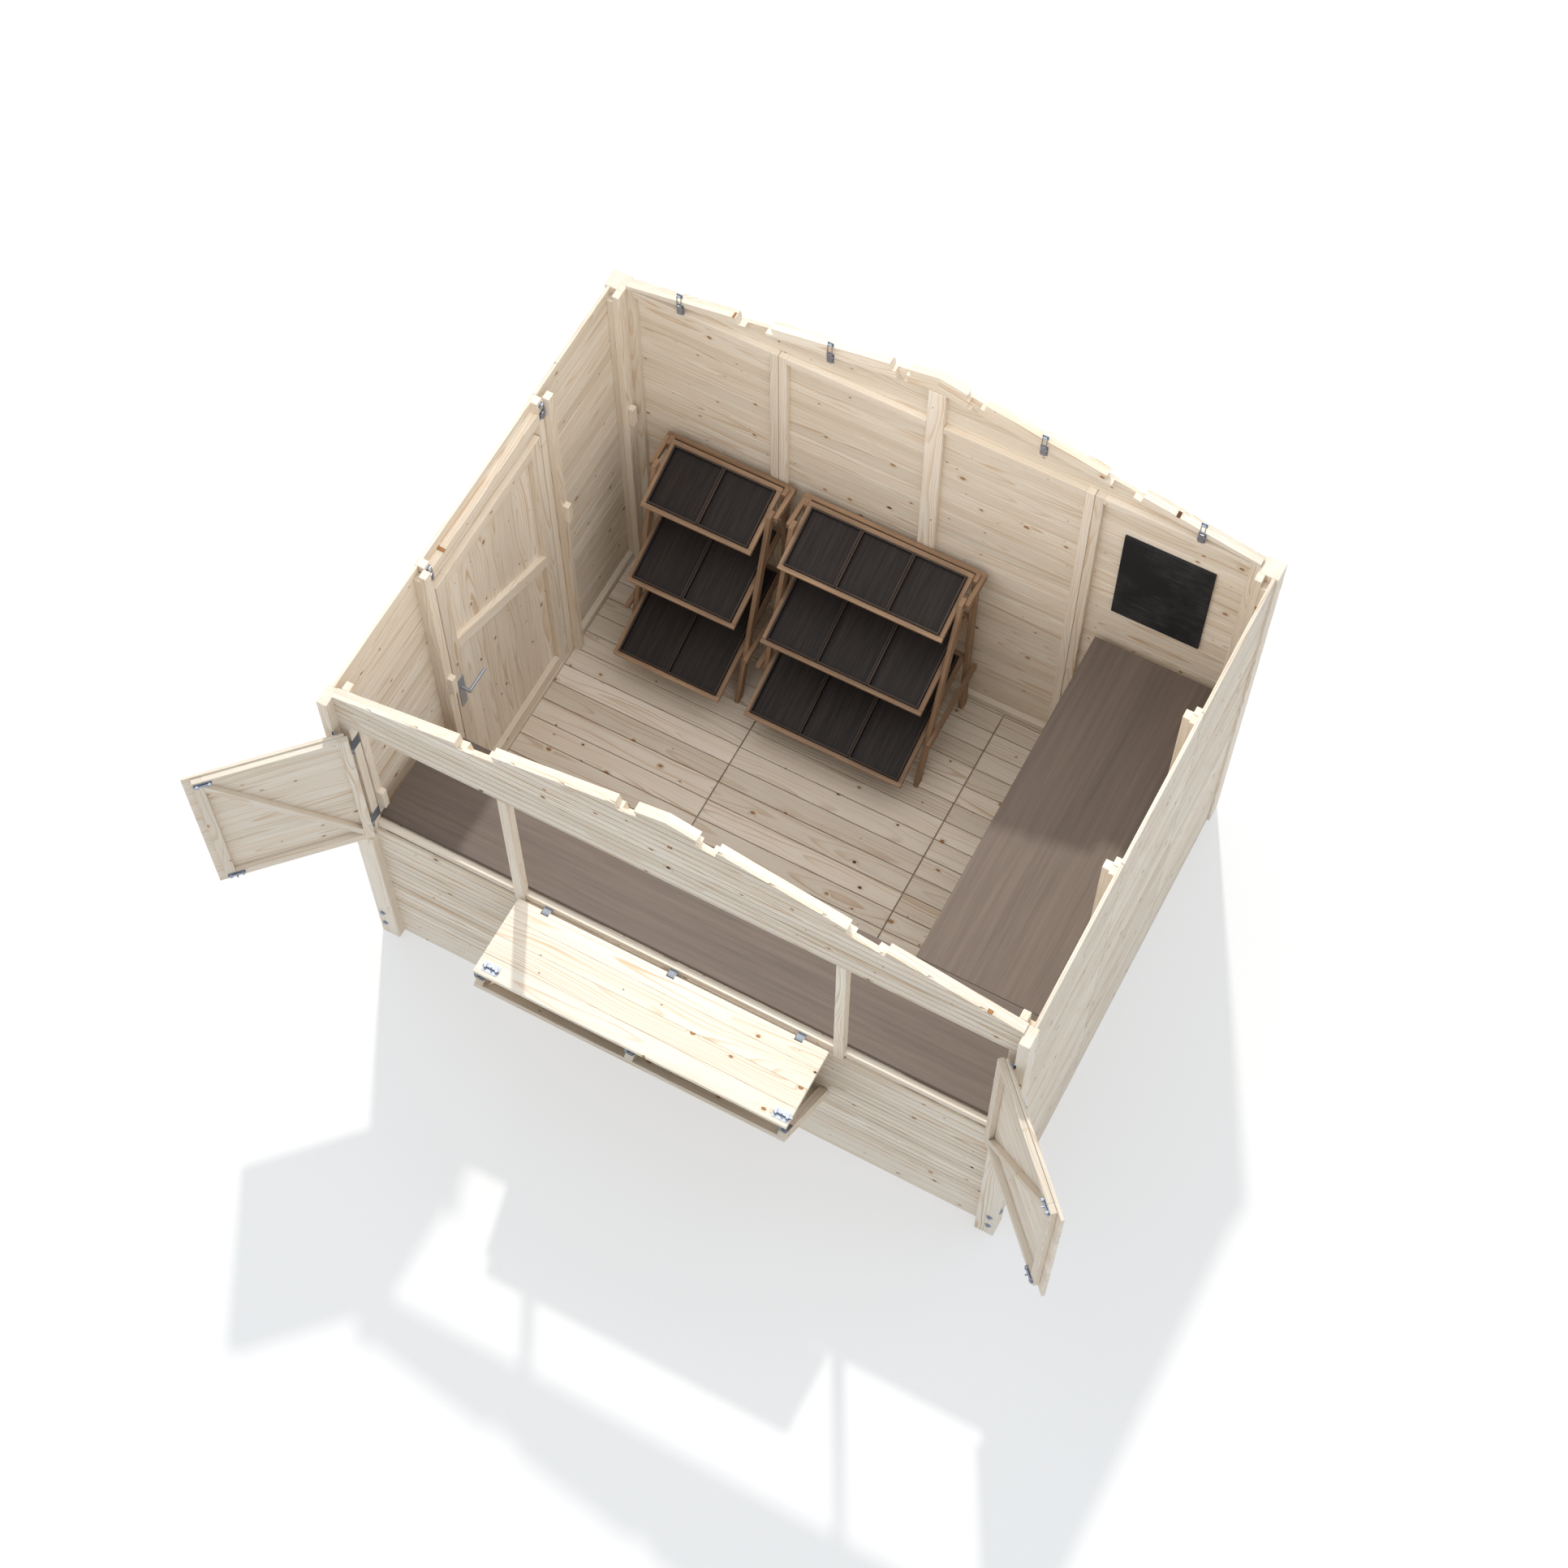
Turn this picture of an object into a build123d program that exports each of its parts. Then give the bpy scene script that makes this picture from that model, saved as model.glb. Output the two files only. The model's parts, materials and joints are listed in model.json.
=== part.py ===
from build123d import *
import math
import os

os.makedirs("parts", exist_ok=True)

# The stall is described in millimetres from the outer corner of the front left post on the ground:
# x runs along the serving front, y runs to the back wall, z is up. Every piece is then moved so
# that the middle of the footprint, on the ground, is the origin.

# Overall sizes
WIDTH = 3000.0
DEPTH = 2291.0
EAVES = 2088.0
ROOF_PITCH = 12.0

# Timber sizes
CLAD = 16.0
BATTEN = 28.0
BATTEN_W = 38.0
POST_X = 88.0
POST_Y = 87.0
FRONT_SET = 43.0
BACK_SET = 22.0
SIDE_SET = 12.0
INNER_POST = 32.0
INNER_POST_W = 40.0
INNER_POST_IN = 7.0
INNER_POST_DOWN = 60.0
PANEL_GAP = 2.0
STILE_DOWN = 43.0
GABLE_BATTEN_DOWN = 8.0

# Floor
FLOOR_TOP = 70.0
FLOOR_BOARD = 22.0
BEARER_W = 45.0
FLOOR_SEAM_1 = 975.0
FLOOR_SEAM_2 = 1960.0
BEARER_END = 54.0

# Serving front
SILL_TOP = 1045.0
SILL_BOARD = 38.0
LEDGE_TOP = 1000.0
BEAM_DROP = 198.0
WINDOW_POST = 42.0
LEFT_BAY = 748.0
RIGHT_BAY = 797.0
HOUSING = 45.0

# Gables
PLANK_H = 96.0
NOTCH_X = (820.0, 170.0)
NOTCH_W = (164.0, 84.0)
NOTCH_D = 40.0
POCKET_W = (96.0, 50.0)
POCKET_D = 46.0

# Side door in the left wall
DOOR_Y0 = 735.0
DOOR_Y1 = 1600.0
OVER_DOOR = 213.0
LINTEL_UP = 70.0
LINTEL_H = 75.0
JAMB = 40.0
THRESHOLD_H = 22.0
DOOR_GAP = 5.0
DOOR_BRACE_W = 70.0
DOOR_BRACE_Z = (1290.0, 960.0)
DOOR_BRACE_T = 75.0
HANDLE_Z = 1020.0
HANDLE_PLATE = (220.0, 40.0, 4.0)
HANDLE_OVER = 77.0
HANDLE_SPINDLE = (48.0, 16.0)
HANDLE_LEVER = (120.0, 14.0)

# Side window shutters
SHUTTER_FRAME = 26.0
SHUTTER_CLAD = 14.0
SHUTTER_LAP = 5.0
SHUTTER_CLAD_SET = 12.0
SHUTTER_CLAD_TOP = 8.0
SHUTTER_CLAD_FOOT = 50.0
SHUTTER_BRACE = 48.0
SHUTTER_HINGE_GAP = 4.0
SHUTTER_Z0 = 985.0
SHUTTER_HEAD_GAP = 12.0
SHUTTER_ANGLE = 134.0
SHUTTER_AXIS_X = 97.0
SHUTTER_AXIS_Y = 22.0
SHUTTER_RAIL = 40.0
SHUTTER_STILE_IN = 34.0
SHUTTER_CLEAR = 10.0

# Folding counter
FLAP_LEFT = 22.0
FLAP_RIGHT = 13.0
FLAP_T = 22.0
FLAP_TOP = 1040.0
FLAP_FRONT = -325.0
FLAP_AXIS_Y = 27.0
FLAP_AXIS_Z = 1029.0
FLAP_BACK_IN = 2.0
FLAP_GAP = 5.0
SUPPORT_CLAD = 18.0
SUPPORT_STILE = 32.0
SUPPORT_STILE_W = 38.0
SUPPORT_ANGLE = 44.0
SUPPORT_SET_BACK = 12.0
SUPPORT_DROP = 63.0
SUPPORT_END_GAP = 5.0

# Hinges
KNUCKLE_D = 10.0
PIN_D = 5.0
PIN_RUN = 0.3
KNUCKLE_RUN = 1.3
HINGE_PLATE = 3.0
HINGE_H = 66.0
SHUTTER_HINGE_IN = 132.0
SHUTTER_PLATE_Y = 85.0
DOOR_HINGE_IN = 234.0
DOOR_STRAP = 260.0
DOOR_AXIS_OUT = 6.0
HINGE_INSET = 2.0
HINGE_LAP = 1.0
PIN_EXTRA = 20.0
COUNTER_HINGE_IN = 130.0
COUNTER_HINGE_W = 34.0

# Worktop
WORKTOP_TOP = 1073.0
WORKTOP_T = 28.0
WORKTOP_FRONT_DEPTH = 460.0
WORKTOP_SIDE_W = 598.0
WORKTOP_GAP = 2.0
WORKTOP_LEG = 45.0
WORKTOP_LEG_IN = 20.0
WORKTOP_MID_LEG_X = 1150.0
WORKTOP_MID_LEG_Y = 1380.0

# Bread racks
RACK_BAR = 22.0
RACK_SLOPE = 20.0
RACK_LEG_DEPTH = 44.0
RACK_TIER_OUT = (345.0, 505.0, 665.0)
RACK_TIER_Z = (1078.0, 690.0, 285.0)
RACK_TIER_BACK = 40.0
RACK_FOOT_OUT = 525.0
RACK_TOP_OUT = 203.0
RACK_TOP_Z = 1195.0
SMALL_RACK_X = (302.0, 842.0)
LARGE_RACK_X = (972.0, 1758.0)
RACK_WALL_GAP = 4.0
RACK_RAIL_H = 36.0
RACK_RAIL_DOWN = 46.0
RACK_RAIL_OUT = 185.0
RACK_ARM_H = 24.0
RACK_ARM_Z = 380.0
RACK_ARM_OUT = 473.0
RACK_SLAT_STEP = 93.0
RACK_SLAT_T = 8.0
TRAY_RUN = 1.0
TRAY_H = 30.0
TRAY_WALL = 8.0
TRAY_FLOOR = 6.0

# Blackboard
BOARD_RIGHT = 252.0
BOARD_SIZE = (396.0, 580.0)
BOARD_DOWN = 218.0
BOARD_T = 12.0


# Sizes that follow from those above
APEX = EAVES + math.tan(math.radians(ROOF_PITCH)) * WIDTH / 2
BEAM_UNDER = EAVES - BEAM_DROP
DOOR_HEAD = EAVES - OVER_DOOR
LEFT_WINDOW_POST_X = LEFT_BAY
RIGHT_WINDOW_POST_X = WIDTH - RIGHT_BAY
SHUTTER_Z1 = BEAM_UNDER - SHUTTER_HEAD_GAP
SHUTTER_HINGE_Z = (SHUTTER_Z0 + SHUTTER_HINGE_IN, SHUTTER_Z1 - SHUTTER_HINGE_IN)
DOOR_HINGE_Z = (FLOOR_TOP + DOOR_HINGE_IN, DOOR_HEAD - DOOR_HINGE_IN)
FLAP_X0 = LEFT_WINDOW_POST_X + FLAP_LEFT
FLAP_X1 = RIGHT_WINDOW_POST_X - FLAP_RIGHT
COUNTER_HINGE_X = (FLAP_X0 + COUNTER_HINGE_IN, (FLAP_X0 + FLAP_X1) / 2, FLAP_X1 - COUNTER_HINGE_IN)
SHUTTER_L = LEFT_WINDOW_POST_X + SHUTTER_LAP - SHUTTER_AXIS_X - SHUTTER_HINGE_GAP
SIDE_IN = SIDE_SET + CLAD
SIDE_FACE = SIDE_IN + BATTEN
FRONT_IN = FRONT_SET + CLAD
FRONT_FACE = FRONT_IN + BATTEN
BACK_OUT = DEPTH - BACK_SET
BACK_IN = BACK_OUT - CLAD
BACK_FACE = BACK_IN - BATTEN


def to_centre(shape):
    """Move a piece from the corner coordinates to the footprint's centre."""
    return Pos(-WIDTH / 2, -DEPTH / 2, 0) * shape


def block(x0, x1, y0, y1, z0, z1):
    """A box between two corners."""
    return Pos((x0 + x1) / 2, (y0 + y1) / 2, (z0 + z1) / 2) * Box(x1 - x0, y1 - y0, z1 - z0)


def rod(start, end, diameter):
    """A round bar from one point to another."""
    a = Vector(*start)
    b = Vector(*end)
    plane = Plane(origin=a, z_dir=(b - a))
    return plane * Pos(0, 0, (b - a).length / 2) * Cylinder(diameter / 2, (b - a).length)


def mirror_x(shape):
    """The same piece on the other side of the stall's middle."""
    return Pos(WIDTH / 2, 0, 0) * mirror(Pos(-WIDTH / 2, 0, 0) * shape, about=Plane.YZ)


def save(name, shape):
    """Write one piece, in the centred frame, as its own file."""
    export_step(to_centre(shape), os.path.join("parts", name + ".step"))


def side_profile(points, x0, x1):
    """A prism along x from an outline of (y, z) points."""
    wire = Polyline(*[(0, y, z) for y, z in points], close=True)
    return Pos(x0, 0, 0) * extrude(make_face(wire), amount=x1 - x0, dir=(1, 0, 0))


def front_profile(points, y0, y1):
    """A prism along y from an outline of (x, z) points."""
    wire = Polyline(*[(x, 0, z) for x, z in points], close=True)
    return Pos(0, y0, 0) * extrude(make_face(wire), amount=y1 - y0, dir=(0, 1, 0))


def roof_z(x):
    """Height of the gable's sloping edge at x."""
    return APEX - math.tan(math.radians(ROOF_PITCH)) * abs(x - WIDTH / 2)


# Floor
FLOOR_UNDER = FLOOR_TOP - FLOOR_BOARD
first_bearer = SIDE_FACE + BEARER_END
last_bearer = WIDTH - first_bearer
bearer_x = (
    first_bearer,
    (first_bearer + FLOOR_SEAM_1) / 2,
    FLOOR_SEAM_1,
    WIDTH / 2,
    FLOOR_SEAM_2,
    (FLOOR_SEAM_2 + last_bearer) / 2,
    last_bearer,
)
bearers = [
    block(x - BEARER_W / 2, x + BEARER_W / 2, FRONT_FACE, DEPTH - POST_Y, 0, FLOOR_UNDER) for x in bearer_x
]
save("floor_bearers", Compound(bearers))
seams = (SIDE_FACE, FLOOR_SEAM_1, FLOOR_SEAM_2, WIDTH - SIDE_FACE)
for index, name in enumerate(("left", "middle", "right")):
    x0 = seams[index] + (PANEL_GAP / 2 if index > 0 else 0)
    x1 = seams[index + 1] - (PANEL_GAP / 2 if index < 2 else 0)
    panel = block(x0, x1, FRONT_FACE, BACK_FACE, FLOOR_UNDER, FLOOR_TOP)
    for x in (0, WIDTH - POST_X):
        panel -= block(x, x + POST_X, DEPTH - POST_Y, DEPTH, 0, EAVES)
    save("floor_panel_" + name, panel)

# Corner posts: the front ones are stepped above the ledge so that the shutters can swing
post = block(0, POST_X, 0, POST_Y, 0, EAVES)
front_post = post - block(HOUSING, POST_X, 0, FRONT_SET, SHUTTER_Z0 - SHUTTER_CLEAR, EAVES)
front_post -= block(HOUSING, POST_X, FRONT_SET, POST_Y, BEAM_UNDER, EAVES)
save("corner_post_front_left", front_post)
save("corner_post_front_right", mirror_x(front_post))
back_post = block(0, POST_X, DEPTH - POST_Y, DEPTH, 0, EAVES)
save("corner_post_back_left", back_post)
save("corner_post_back_right", mirror_x(back_post))

# Front apron with its frame, and the sill on it
apron = block(POST_X, WIDTH - POST_X, FRONT_SET, FRONT_IN, 0, LEDGE_TOP)
apron += block(POST_X, WIDTH - POST_X, FRONT_IN, FRONT_FACE, 0, BATTEN_W)
stud_x = (
    POST_X,
    LEFT_WINDOW_POST_X,
    WIDTH / 2 - BATTEN_W / 2,
    RIGHT_WINDOW_POST_X + WINDOW_POST - BATTEN_W,
    WIDTH - POST_X - BATTEN_W,
)
for x in stud_x:
    apron += block(x, x + BATTEN_W, FRONT_IN, FRONT_FACE, BATTEN_W, SILL_TOP - SILL_BOARD)
save("front_apron_panel", apron)
sill = block(POST_X, WIDTH - POST_X, FRONT_IN, FRONT_FACE, SILL_TOP - SILL_BOARD, SILL_TOP)
save("front_sill", sill)

# Posts between the three serving windows
window_posts = []
for x in (LEFT_WINDOW_POST_X, RIGHT_WINDOW_POST_X):
    bar = block(x, x + WINDOW_POST, FRONT_IN, FRONT_FACE, SILL_TOP, BEAM_UNDER)
    bar += block(x, x + WINDOW_POST, FRONT_SET, FRONT_IN, LEDGE_TOP, BEAM_UNDER)
    window_posts.append(bar)
save("window_posts", Compound(window_posts))


def gable_cladding(x0, x1, z0, y0, y1):
    """The outer boards of a gable up to the roof line."""
    points = [(x0, z0), (x1, z0), (x1, roof_z(x1)), (WIDTH / 2, APEX), (x0, roof_z(x0))]
    return front_profile(points, y0, y1)


def gable_planks(x0, x1, y0, y1, z_floor):
    """The inner planks that follow the roof line and carry the purlins."""
    low = PLANK_H
    points = [
        (x0, max(z_floor, roof_z(x0) - low)),
        (WIDTH / 2, APEX - low),
        (x1, max(z_floor, roof_z(x1) - low)),
        (x1, roof_z(x1)),
        (WIDTH / 2, APEX),
        (x0, roof_z(x0)),
    ]
    planks = front_profile(points, y0, y1)
    return planks & block(0, WIDTH, y0, y1, z_floor, APEX)


def notch(side, index, width, depth, y0, y1):
    """A cut for a purlin, its bottom parallel to the roof line."""
    x = WIDTH / 2 + side * NOTCH_X[index]
    tool = Box(width, y1 - y0, 2 * depth)
    return Pos(x, (y0 + y1) / 2, roof_z(x)) * Rot(0, side * ROOF_PITCH, 0) * tool


def cut_notches(shape, y0, y1, inner):
    """Cut the shallow steps, and in the inner planks the deeper pockets too."""
    for side in (-1, 1):
        for index in (0, 1):
            shape -= notch(side, index, NOTCH_W[index], NOTCH_D, y0, y1)
            if inner:
                shape -= notch(side, index, POCKET_W[index], NOTCH_D + POCKET_D, y0, y1)
    return shape


# Front gable: it is also the beam over the windows
front_clad = gable_cladding(HOUSING, WIDTH - HOUSING, BEAM_UNDER, FRONT_SET, FRONT_IN)
save("front_gable_cladding", cut_notches(front_clad, FRONT_SET, FRONT_IN, False))
front_beam = block(HOUSING, WIDTH - HOUSING, FRONT_IN, FRONT_FACE, BEAM_UNDER, EAVES - PLANK_H)
front_planks = gable_planks(HOUSING, WIDTH - HOUSING, FRONT_IN, FRONT_FACE, EAVES - PLANK_H)
front_planks = cut_notches(front_planks, FRONT_IN, FRONT_FACE, True)
save("front_gable_planks", front_planks + front_beam)

# Back wall in four panels, with a double batten at the middle that carries the gable
back_ends = [POST_X + index * (WIDTH - 2 * POST_X) / 4 for index in range(5)]
for index, name in enumerate(("left", "left_middle", "right_middle", "right")):
    x0 = back_ends[index] + (PANEL_GAP / 2 if index > 0 else 0)
    x1 = back_ends[index + 1] - (PANEL_GAP / 2 if index < 3 else 0)
    f0 = x0 + (BATTEN_W if index == 2 else 0)
    f1 = x1 - (BATTEN_W if index == 1 else 0)
    panel = block(x0, x1, BACK_IN, BACK_OUT, 0, EAVES)
    panel += block(f0, f1, BACK_FACE, BACK_IN, EAVES - BATTEN_W, EAVES)
    panel += block(f0, f1, BACK_FACE, BACK_IN, 0, FLOOR_TOP + BATTEN_W)
    if index != 2:
        panel += block(x0, x0 + BATTEN_W, BACK_FACE, BACK_IN, FLOOR_TOP, EAVES)
    if index != 1:
        panel += block(x1 - BATTEN_W, x1, BACK_FACE, BACK_IN, FLOOR_TOP, EAVES)
    save("back_wall_" + name + "_panel", panel)

# Back gable over the wall panels
back_clad = gable_cladding(POST_X, WIDTH - POST_X, EAVES, BACK_IN, BACK_OUT)
save("back_gable_cladding", cut_notches(back_clad, BACK_IN, BACK_OUT, False))
back_planks = gable_planks(POST_X, WIDTH - POST_X, BACK_FACE, BACK_IN, EAVES)
save("back_gable_planks", cut_notches(back_planks, BACK_FACE, BACK_IN, True))
batten_top = APEX - PLANK_H - GABLE_BATTEN_DOWN
centre_batten = block(
    WIDTH / 2 - BATTEN_W, WIDTH / 2 + BATTEN_W, BACK_FACE, BACK_IN, FLOOR_TOP, batten_top
)
save("back_centre_batten", centre_batten)


def side_panel(y0, y1):
    """One framed panel of a side wall; its boards reach above its stiles and it has no top rail."""
    panel = block(SIDE_SET, SIDE_IN, y0, y1, 0, EAVES)
    for y in (y0, y1 - BATTEN_W):
        panel += block(SIDE_IN, SIDE_FACE, y, y + BATTEN_W, 0, EAVES - STILE_DOWN)
    panel += block(SIDE_IN, SIDE_FACE, y0, y1, 0, FLOOR_TOP + BATTEN_W)
    return panel


# Left wall beside and over the door
WALL_Y0 = POST_Y
WALL_Y1 = DEPTH - POST_Y
LEFT_SPLIT_1 = DOOR_Y0 - JAMB
LEFT_SPLIT_2 = DOOR_Y1 + PANEL_GAP
save("left_wall_front_panel", side_panel(WALL_Y0, LEFT_SPLIT_1 - PANEL_GAP))
save("left_wall_rear_panel", side_panel(LEFT_SPLIT_2, WALL_Y1))
over = block(SIDE_SET, SIDE_IN, LEFT_SPLIT_1, DOOR_Y1, DOOR_HEAD, EAVES)
save("left_wall_over_door", over)
frame = block(SIDE_IN, SIDE_FACE, LEFT_SPLIT_1, DOOR_Y0, 0, EAVES)
frame += block(SIDE_SET, SIDE_IN, LEFT_SPLIT_1, DOOR_Y0, 0, DOOR_HEAD)
frame += block(SIDE_IN, SIDE_FACE, DOOR_Y1 - JAMB, DOOR_Y1, 0, EAVES)
frame += block(SIDE_SET, SIDE_IN, DOOR_Y1 - JAMB, DOOR_Y1, 0, DOOR_HEAD)
lintel_z = DOOR_HEAD + LINTEL_UP
frame += block(SIDE_IN, SIDE_FACE, DOOR_Y0, DOOR_Y1 - JAMB, lintel_z, lintel_z + LINTEL_H)
frame += block(SIDE_SET, SIDE_FACE, DOOR_Y0, DOOR_Y1 - JAMB, 0, FLOOR_TOP + THRESHOLD_H)
save("door_frame", frame)

# Right wall in three panels
RIGHT_SPLIT_1 = 822.0
RIGHT_SPLIT_2 = 1538.0
right_ends = (WALL_Y0, RIGHT_SPLIT_1, RIGHT_SPLIT_2, WALL_Y1)
for index, name in enumerate(("front", "middle", "rear")):
    y0 = right_ends[index] + (PANEL_GAP / 2 if index > 0 else 0)
    y1 = right_ends[index + 1] - (PANEL_GAP / 2 if index < 2 else 0)
    save("right_wall_" + name + "_panel", mirror_x(side_panel(y0, y1)))

# Inner posts that join the panels


def joining_post(y0, y1, top):
    """An upright post on the inside of the left wall, over the seam between two panels."""
    return block(SIDE_FACE, SIDE_FACE + INNER_POST, y0, y1, FLOOR_TOP, top)


front_joint = joining_post(WALL_Y0 + INNER_POST_IN, WALL_Y0 + INNER_POST_IN + INNER_POST_W, EAVES)
back_joint = joining_post(WALL_Y1 - INNER_POST_W, WALL_Y1, EAVES)
joining_posts = [
    front_joint,
    joining_post(LEFT_SPLIT_1 - PANEL_GAP - INNER_POST_W, LEFT_SPLIT_1 - PANEL_GAP, EAVES),
    joining_post(LEFT_SPLIT_2, LEFT_SPLIT_2 + INNER_POST_W, EAVES),
    back_joint,
    mirror_x(front_joint),
    mirror_x(back_joint),
]
for y in (RIGHT_SPLIT_1, RIGHT_SPLIT_2):
    bar = joining_post(y - INNER_POST_W / 2, y + INNER_POST_W / 2, EAVES - INNER_POST_DOWN)
    joining_posts.append(mirror_x(bar))
save("wall_joining_posts", Compound(joining_posts))

# Side door: vertical boards with a frame and a brace on the inside
DOOR_LEAF_Y0 = DOOR_Y0 + DOOR_GAP
DOOR_LEAF_Y1 = DOOR_Y1 - JAMB - DOOR_GAP
DOOR_LEAF_Z0 = FLOOR_TOP + THRESHOLD_H + DOOR_GAP
DOOR_LEAF_Z1 = DOOR_HEAD - DOOR_GAP
leaf = block(SIDE_SET, SIDE_IN, DOOR_LEAF_Y0, DOOR_LEAF_Y1, DOOR_LEAF_Z0, DOOR_LEAF_Z1)
for y in (DOOR_LEAF_Y0, DOOR_LEAF_Y1 - DOOR_BRACE_W):
    leaf += block(SIDE_IN, SIDE_FACE, y, y + DOOR_BRACE_W, DOOR_LEAF_Z0, DOOR_LEAF_Z1)
for z in (DOOR_LEAF_Z0, DOOR_LEAF_Z1 - DOOR_BRACE_W):
    leaf += block(SIDE_IN, SIDE_FACE, DOOR_LEAF_Y0, DOOR_LEAF_Y1, z, z + DOOR_BRACE_W)
brace_points = [
    (DOOR_LEAF_Y0 + DOOR_BRACE_W, DOOR_BRACE_Z[0]),
    (DOOR_LEAF_Y1 - DOOR_BRACE_W, DOOR_BRACE_Z[1]),
    (DOOR_LEAF_Y1 - DOOR_BRACE_W, DOOR_BRACE_Z[1] + DOOR_BRACE_T),
    (DOOR_LEAF_Y0 + DOOR_BRACE_W, DOOR_BRACE_Z[0] + DOOR_BRACE_T),
]
leaf += side_profile(brace_points, SIDE_IN, SIDE_FACE)
save("side_door", leaf)
handle_y = DOOR_LEAF_Y0 + DOOR_BRACE_W / 2
plate_h, plate_w, plate_t = HANDLE_PLATE
handle = block(
    SIDE_FACE, SIDE_FACE + plate_t, handle_y - plate_w / 2, handle_y + plate_w / 2,
    HANDLE_Z + HANDLE_OVER - plate_h, HANDLE_Z + HANDLE_OVER,
)
spindle, spindle_d = HANDLE_SPINDLE
lever, lever_d = HANDLE_LEVER
lever_x = SIDE_FACE + spindle - lever_d / 2
handle += rod((SIDE_FACE, handle_y, HANDLE_Z), (SIDE_FACE + spindle, handle_y, HANDLE_Z), spindle_d)
handle += rod((lever_x, handle_y, HANDLE_Z), (lever_x, handle_y + lever, HANDLE_Z), lever_d)
save("side_door_handle", handle)

# Shutters are drawn closed and then swung open about their upright axis


def shutter_closed():
    """A framed shutter, closed, hinged on the left."""
    x0 = SHUTTER_AXIS_X + SHUTTER_HINGE_GAP
    x1 = x0 + SHUTTER_L
    y_in = SHUTTER_AXIS_Y + SHUTTER_FRAME
    y_mid = SHUTTER_AXIS_Y
    panel = block(x0 + SHUTTER_CLAD_SET, x1, y_mid - SHUTTER_CLAD, y_mid, SHUTTER_Z0, SHUTTER_Z1)
    top = SHUTTER_Z1 - SHUTTER_CLAD_TOP
    low = SHUTTER_Z0 + SHUTTER_CLAD_FOOT
    stile_x = x1 - SHUTTER_STILE_IN
    panel += block(x0, x0 + SHUTTER_RAIL, y_mid, y_in, low, top)
    panel += block(stile_x - SHUTTER_RAIL, stile_x, y_mid, y_in, low, top)
    panel += block(x0 + SHUTTER_RAIL, stile_x, y_mid, y_in, top - SHUTTER_RAIL, top)
    panel += block(x0 + SHUTTER_RAIL, stile_x, y_mid, y_in, low, low + SHUTTER_RAIL)
    a = x0 + SHUTTER_RAIL
    b = stile_x - SHUTTER_RAIL
    foot = low + SHUTTER_RAIL
    head = top - SHUTTER_RAIL
    brace = [(a, foot), (a, foot + SHUTTER_BRACE), (b, head), (b, head - SHUTTER_BRACE)]
    panel += front_profile(brace, y_mid, y_in)
    for z in SHUTTER_HINGE_Z:
        hollow = Cylinder(KNUCKLE_D / 2 + KNUCKLE_RUN, HINGE_H + 2 * HINGE_LAP)
        panel -= Pos(SHUTTER_AXIS_X, SHUTTER_AXIS_Y, z) * hollow
    return panel


def swing(shape, angle):
    """Turn a closed shutter about its upright hinge axis."""
    axis = Pos(SHUTTER_AXIS_X, SHUTTER_AXIS_Y, 0)
    return axis * Rot(0, 0, -angle) * Pos(-SHUTTER_AXIS_X, -SHUTTER_AXIS_Y, 0) * shape


left_shutter = swing(shutter_closed(), SHUTTER_ANGLE)
save("left_shutter", left_shutter)
save("right_shutter", mirror_x(left_shutter))


def barrel(length, diameter):
    """A plain round bar along z, centred."""
    return Cylinder(diameter / 2, length)


def knuckles(height, plate_fixed, plate_moving):
    """An upright hinge at the origin: the fixed outer knuckles with the pin, and the moving one."""
    third = height / 3
    fixed = plate_fixed
    for side in (-1, 1):
        fixed += Pos(0, 0, side * third) * barrel(third - 2 * PIN_RUN, KNUCKLE_D)
    fixed += barrel(height, PIN_D)
    moving = plate_moving + barrel(third - 2 * PIN_RUN, KNUCKLE_D)
    moving -= barrel(height, PIN_D + 2 * PIN_RUN)
    return fixed, moving


# Shutter hinges: plates on the side of the corner posts and on the edge of the shutters
third = HINGE_H / 3
fixed_x = POST_X - SHUTTER_AXIS_X
fixed_plate = block(
    fixed_x, fixed_x + HINGE_PLATE,
    KNUCKLE_D / 2, SHUTTER_PLATE_Y - SHUTTER_AXIS_Y,
    -HINGE_H / 2, HINGE_H / 2,
)
for side in (-1, 1):
    z = side * third
    fixed_plate += block(
        fixed_x, 0, 0, KNUCKLE_D / 2 + HINGE_INSET, z - third / 2 + PIN_RUN, z + third / 2 - PIN_RUN
    )
moving_plate = block(
    SHUTTER_HINGE_GAP - HINGE_PLATE, SHUTTER_HINGE_GAP,
    0, SHUTTER_FRAME - HINGE_INSET,
    -third / 2 + PIN_RUN, third / 2 - PIN_RUN,
)
fixed_hinge, moving_hinge = knuckles(HINGE_H, fixed_plate, moving_plate)
fixed_leaves = []
moving_leaves = []
for z in SHUTTER_HINGE_Z:
    place = Pos(SHUTTER_AXIS_X, SHUTTER_AXIS_Y, z)
    fixed_leaves.append(place * fixed_hinge)
    fixed_leaves.append(mirror_x(place * fixed_hinge))
    moving_leaves.append(swing(place * moving_hinge, SHUTTER_ANGLE))
save("left_shutter_hinges", Compound(moving_leaves))
save("right_shutter_hinges", Compound([mirror_x(leaf) for leaf in moving_leaves]))

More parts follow.
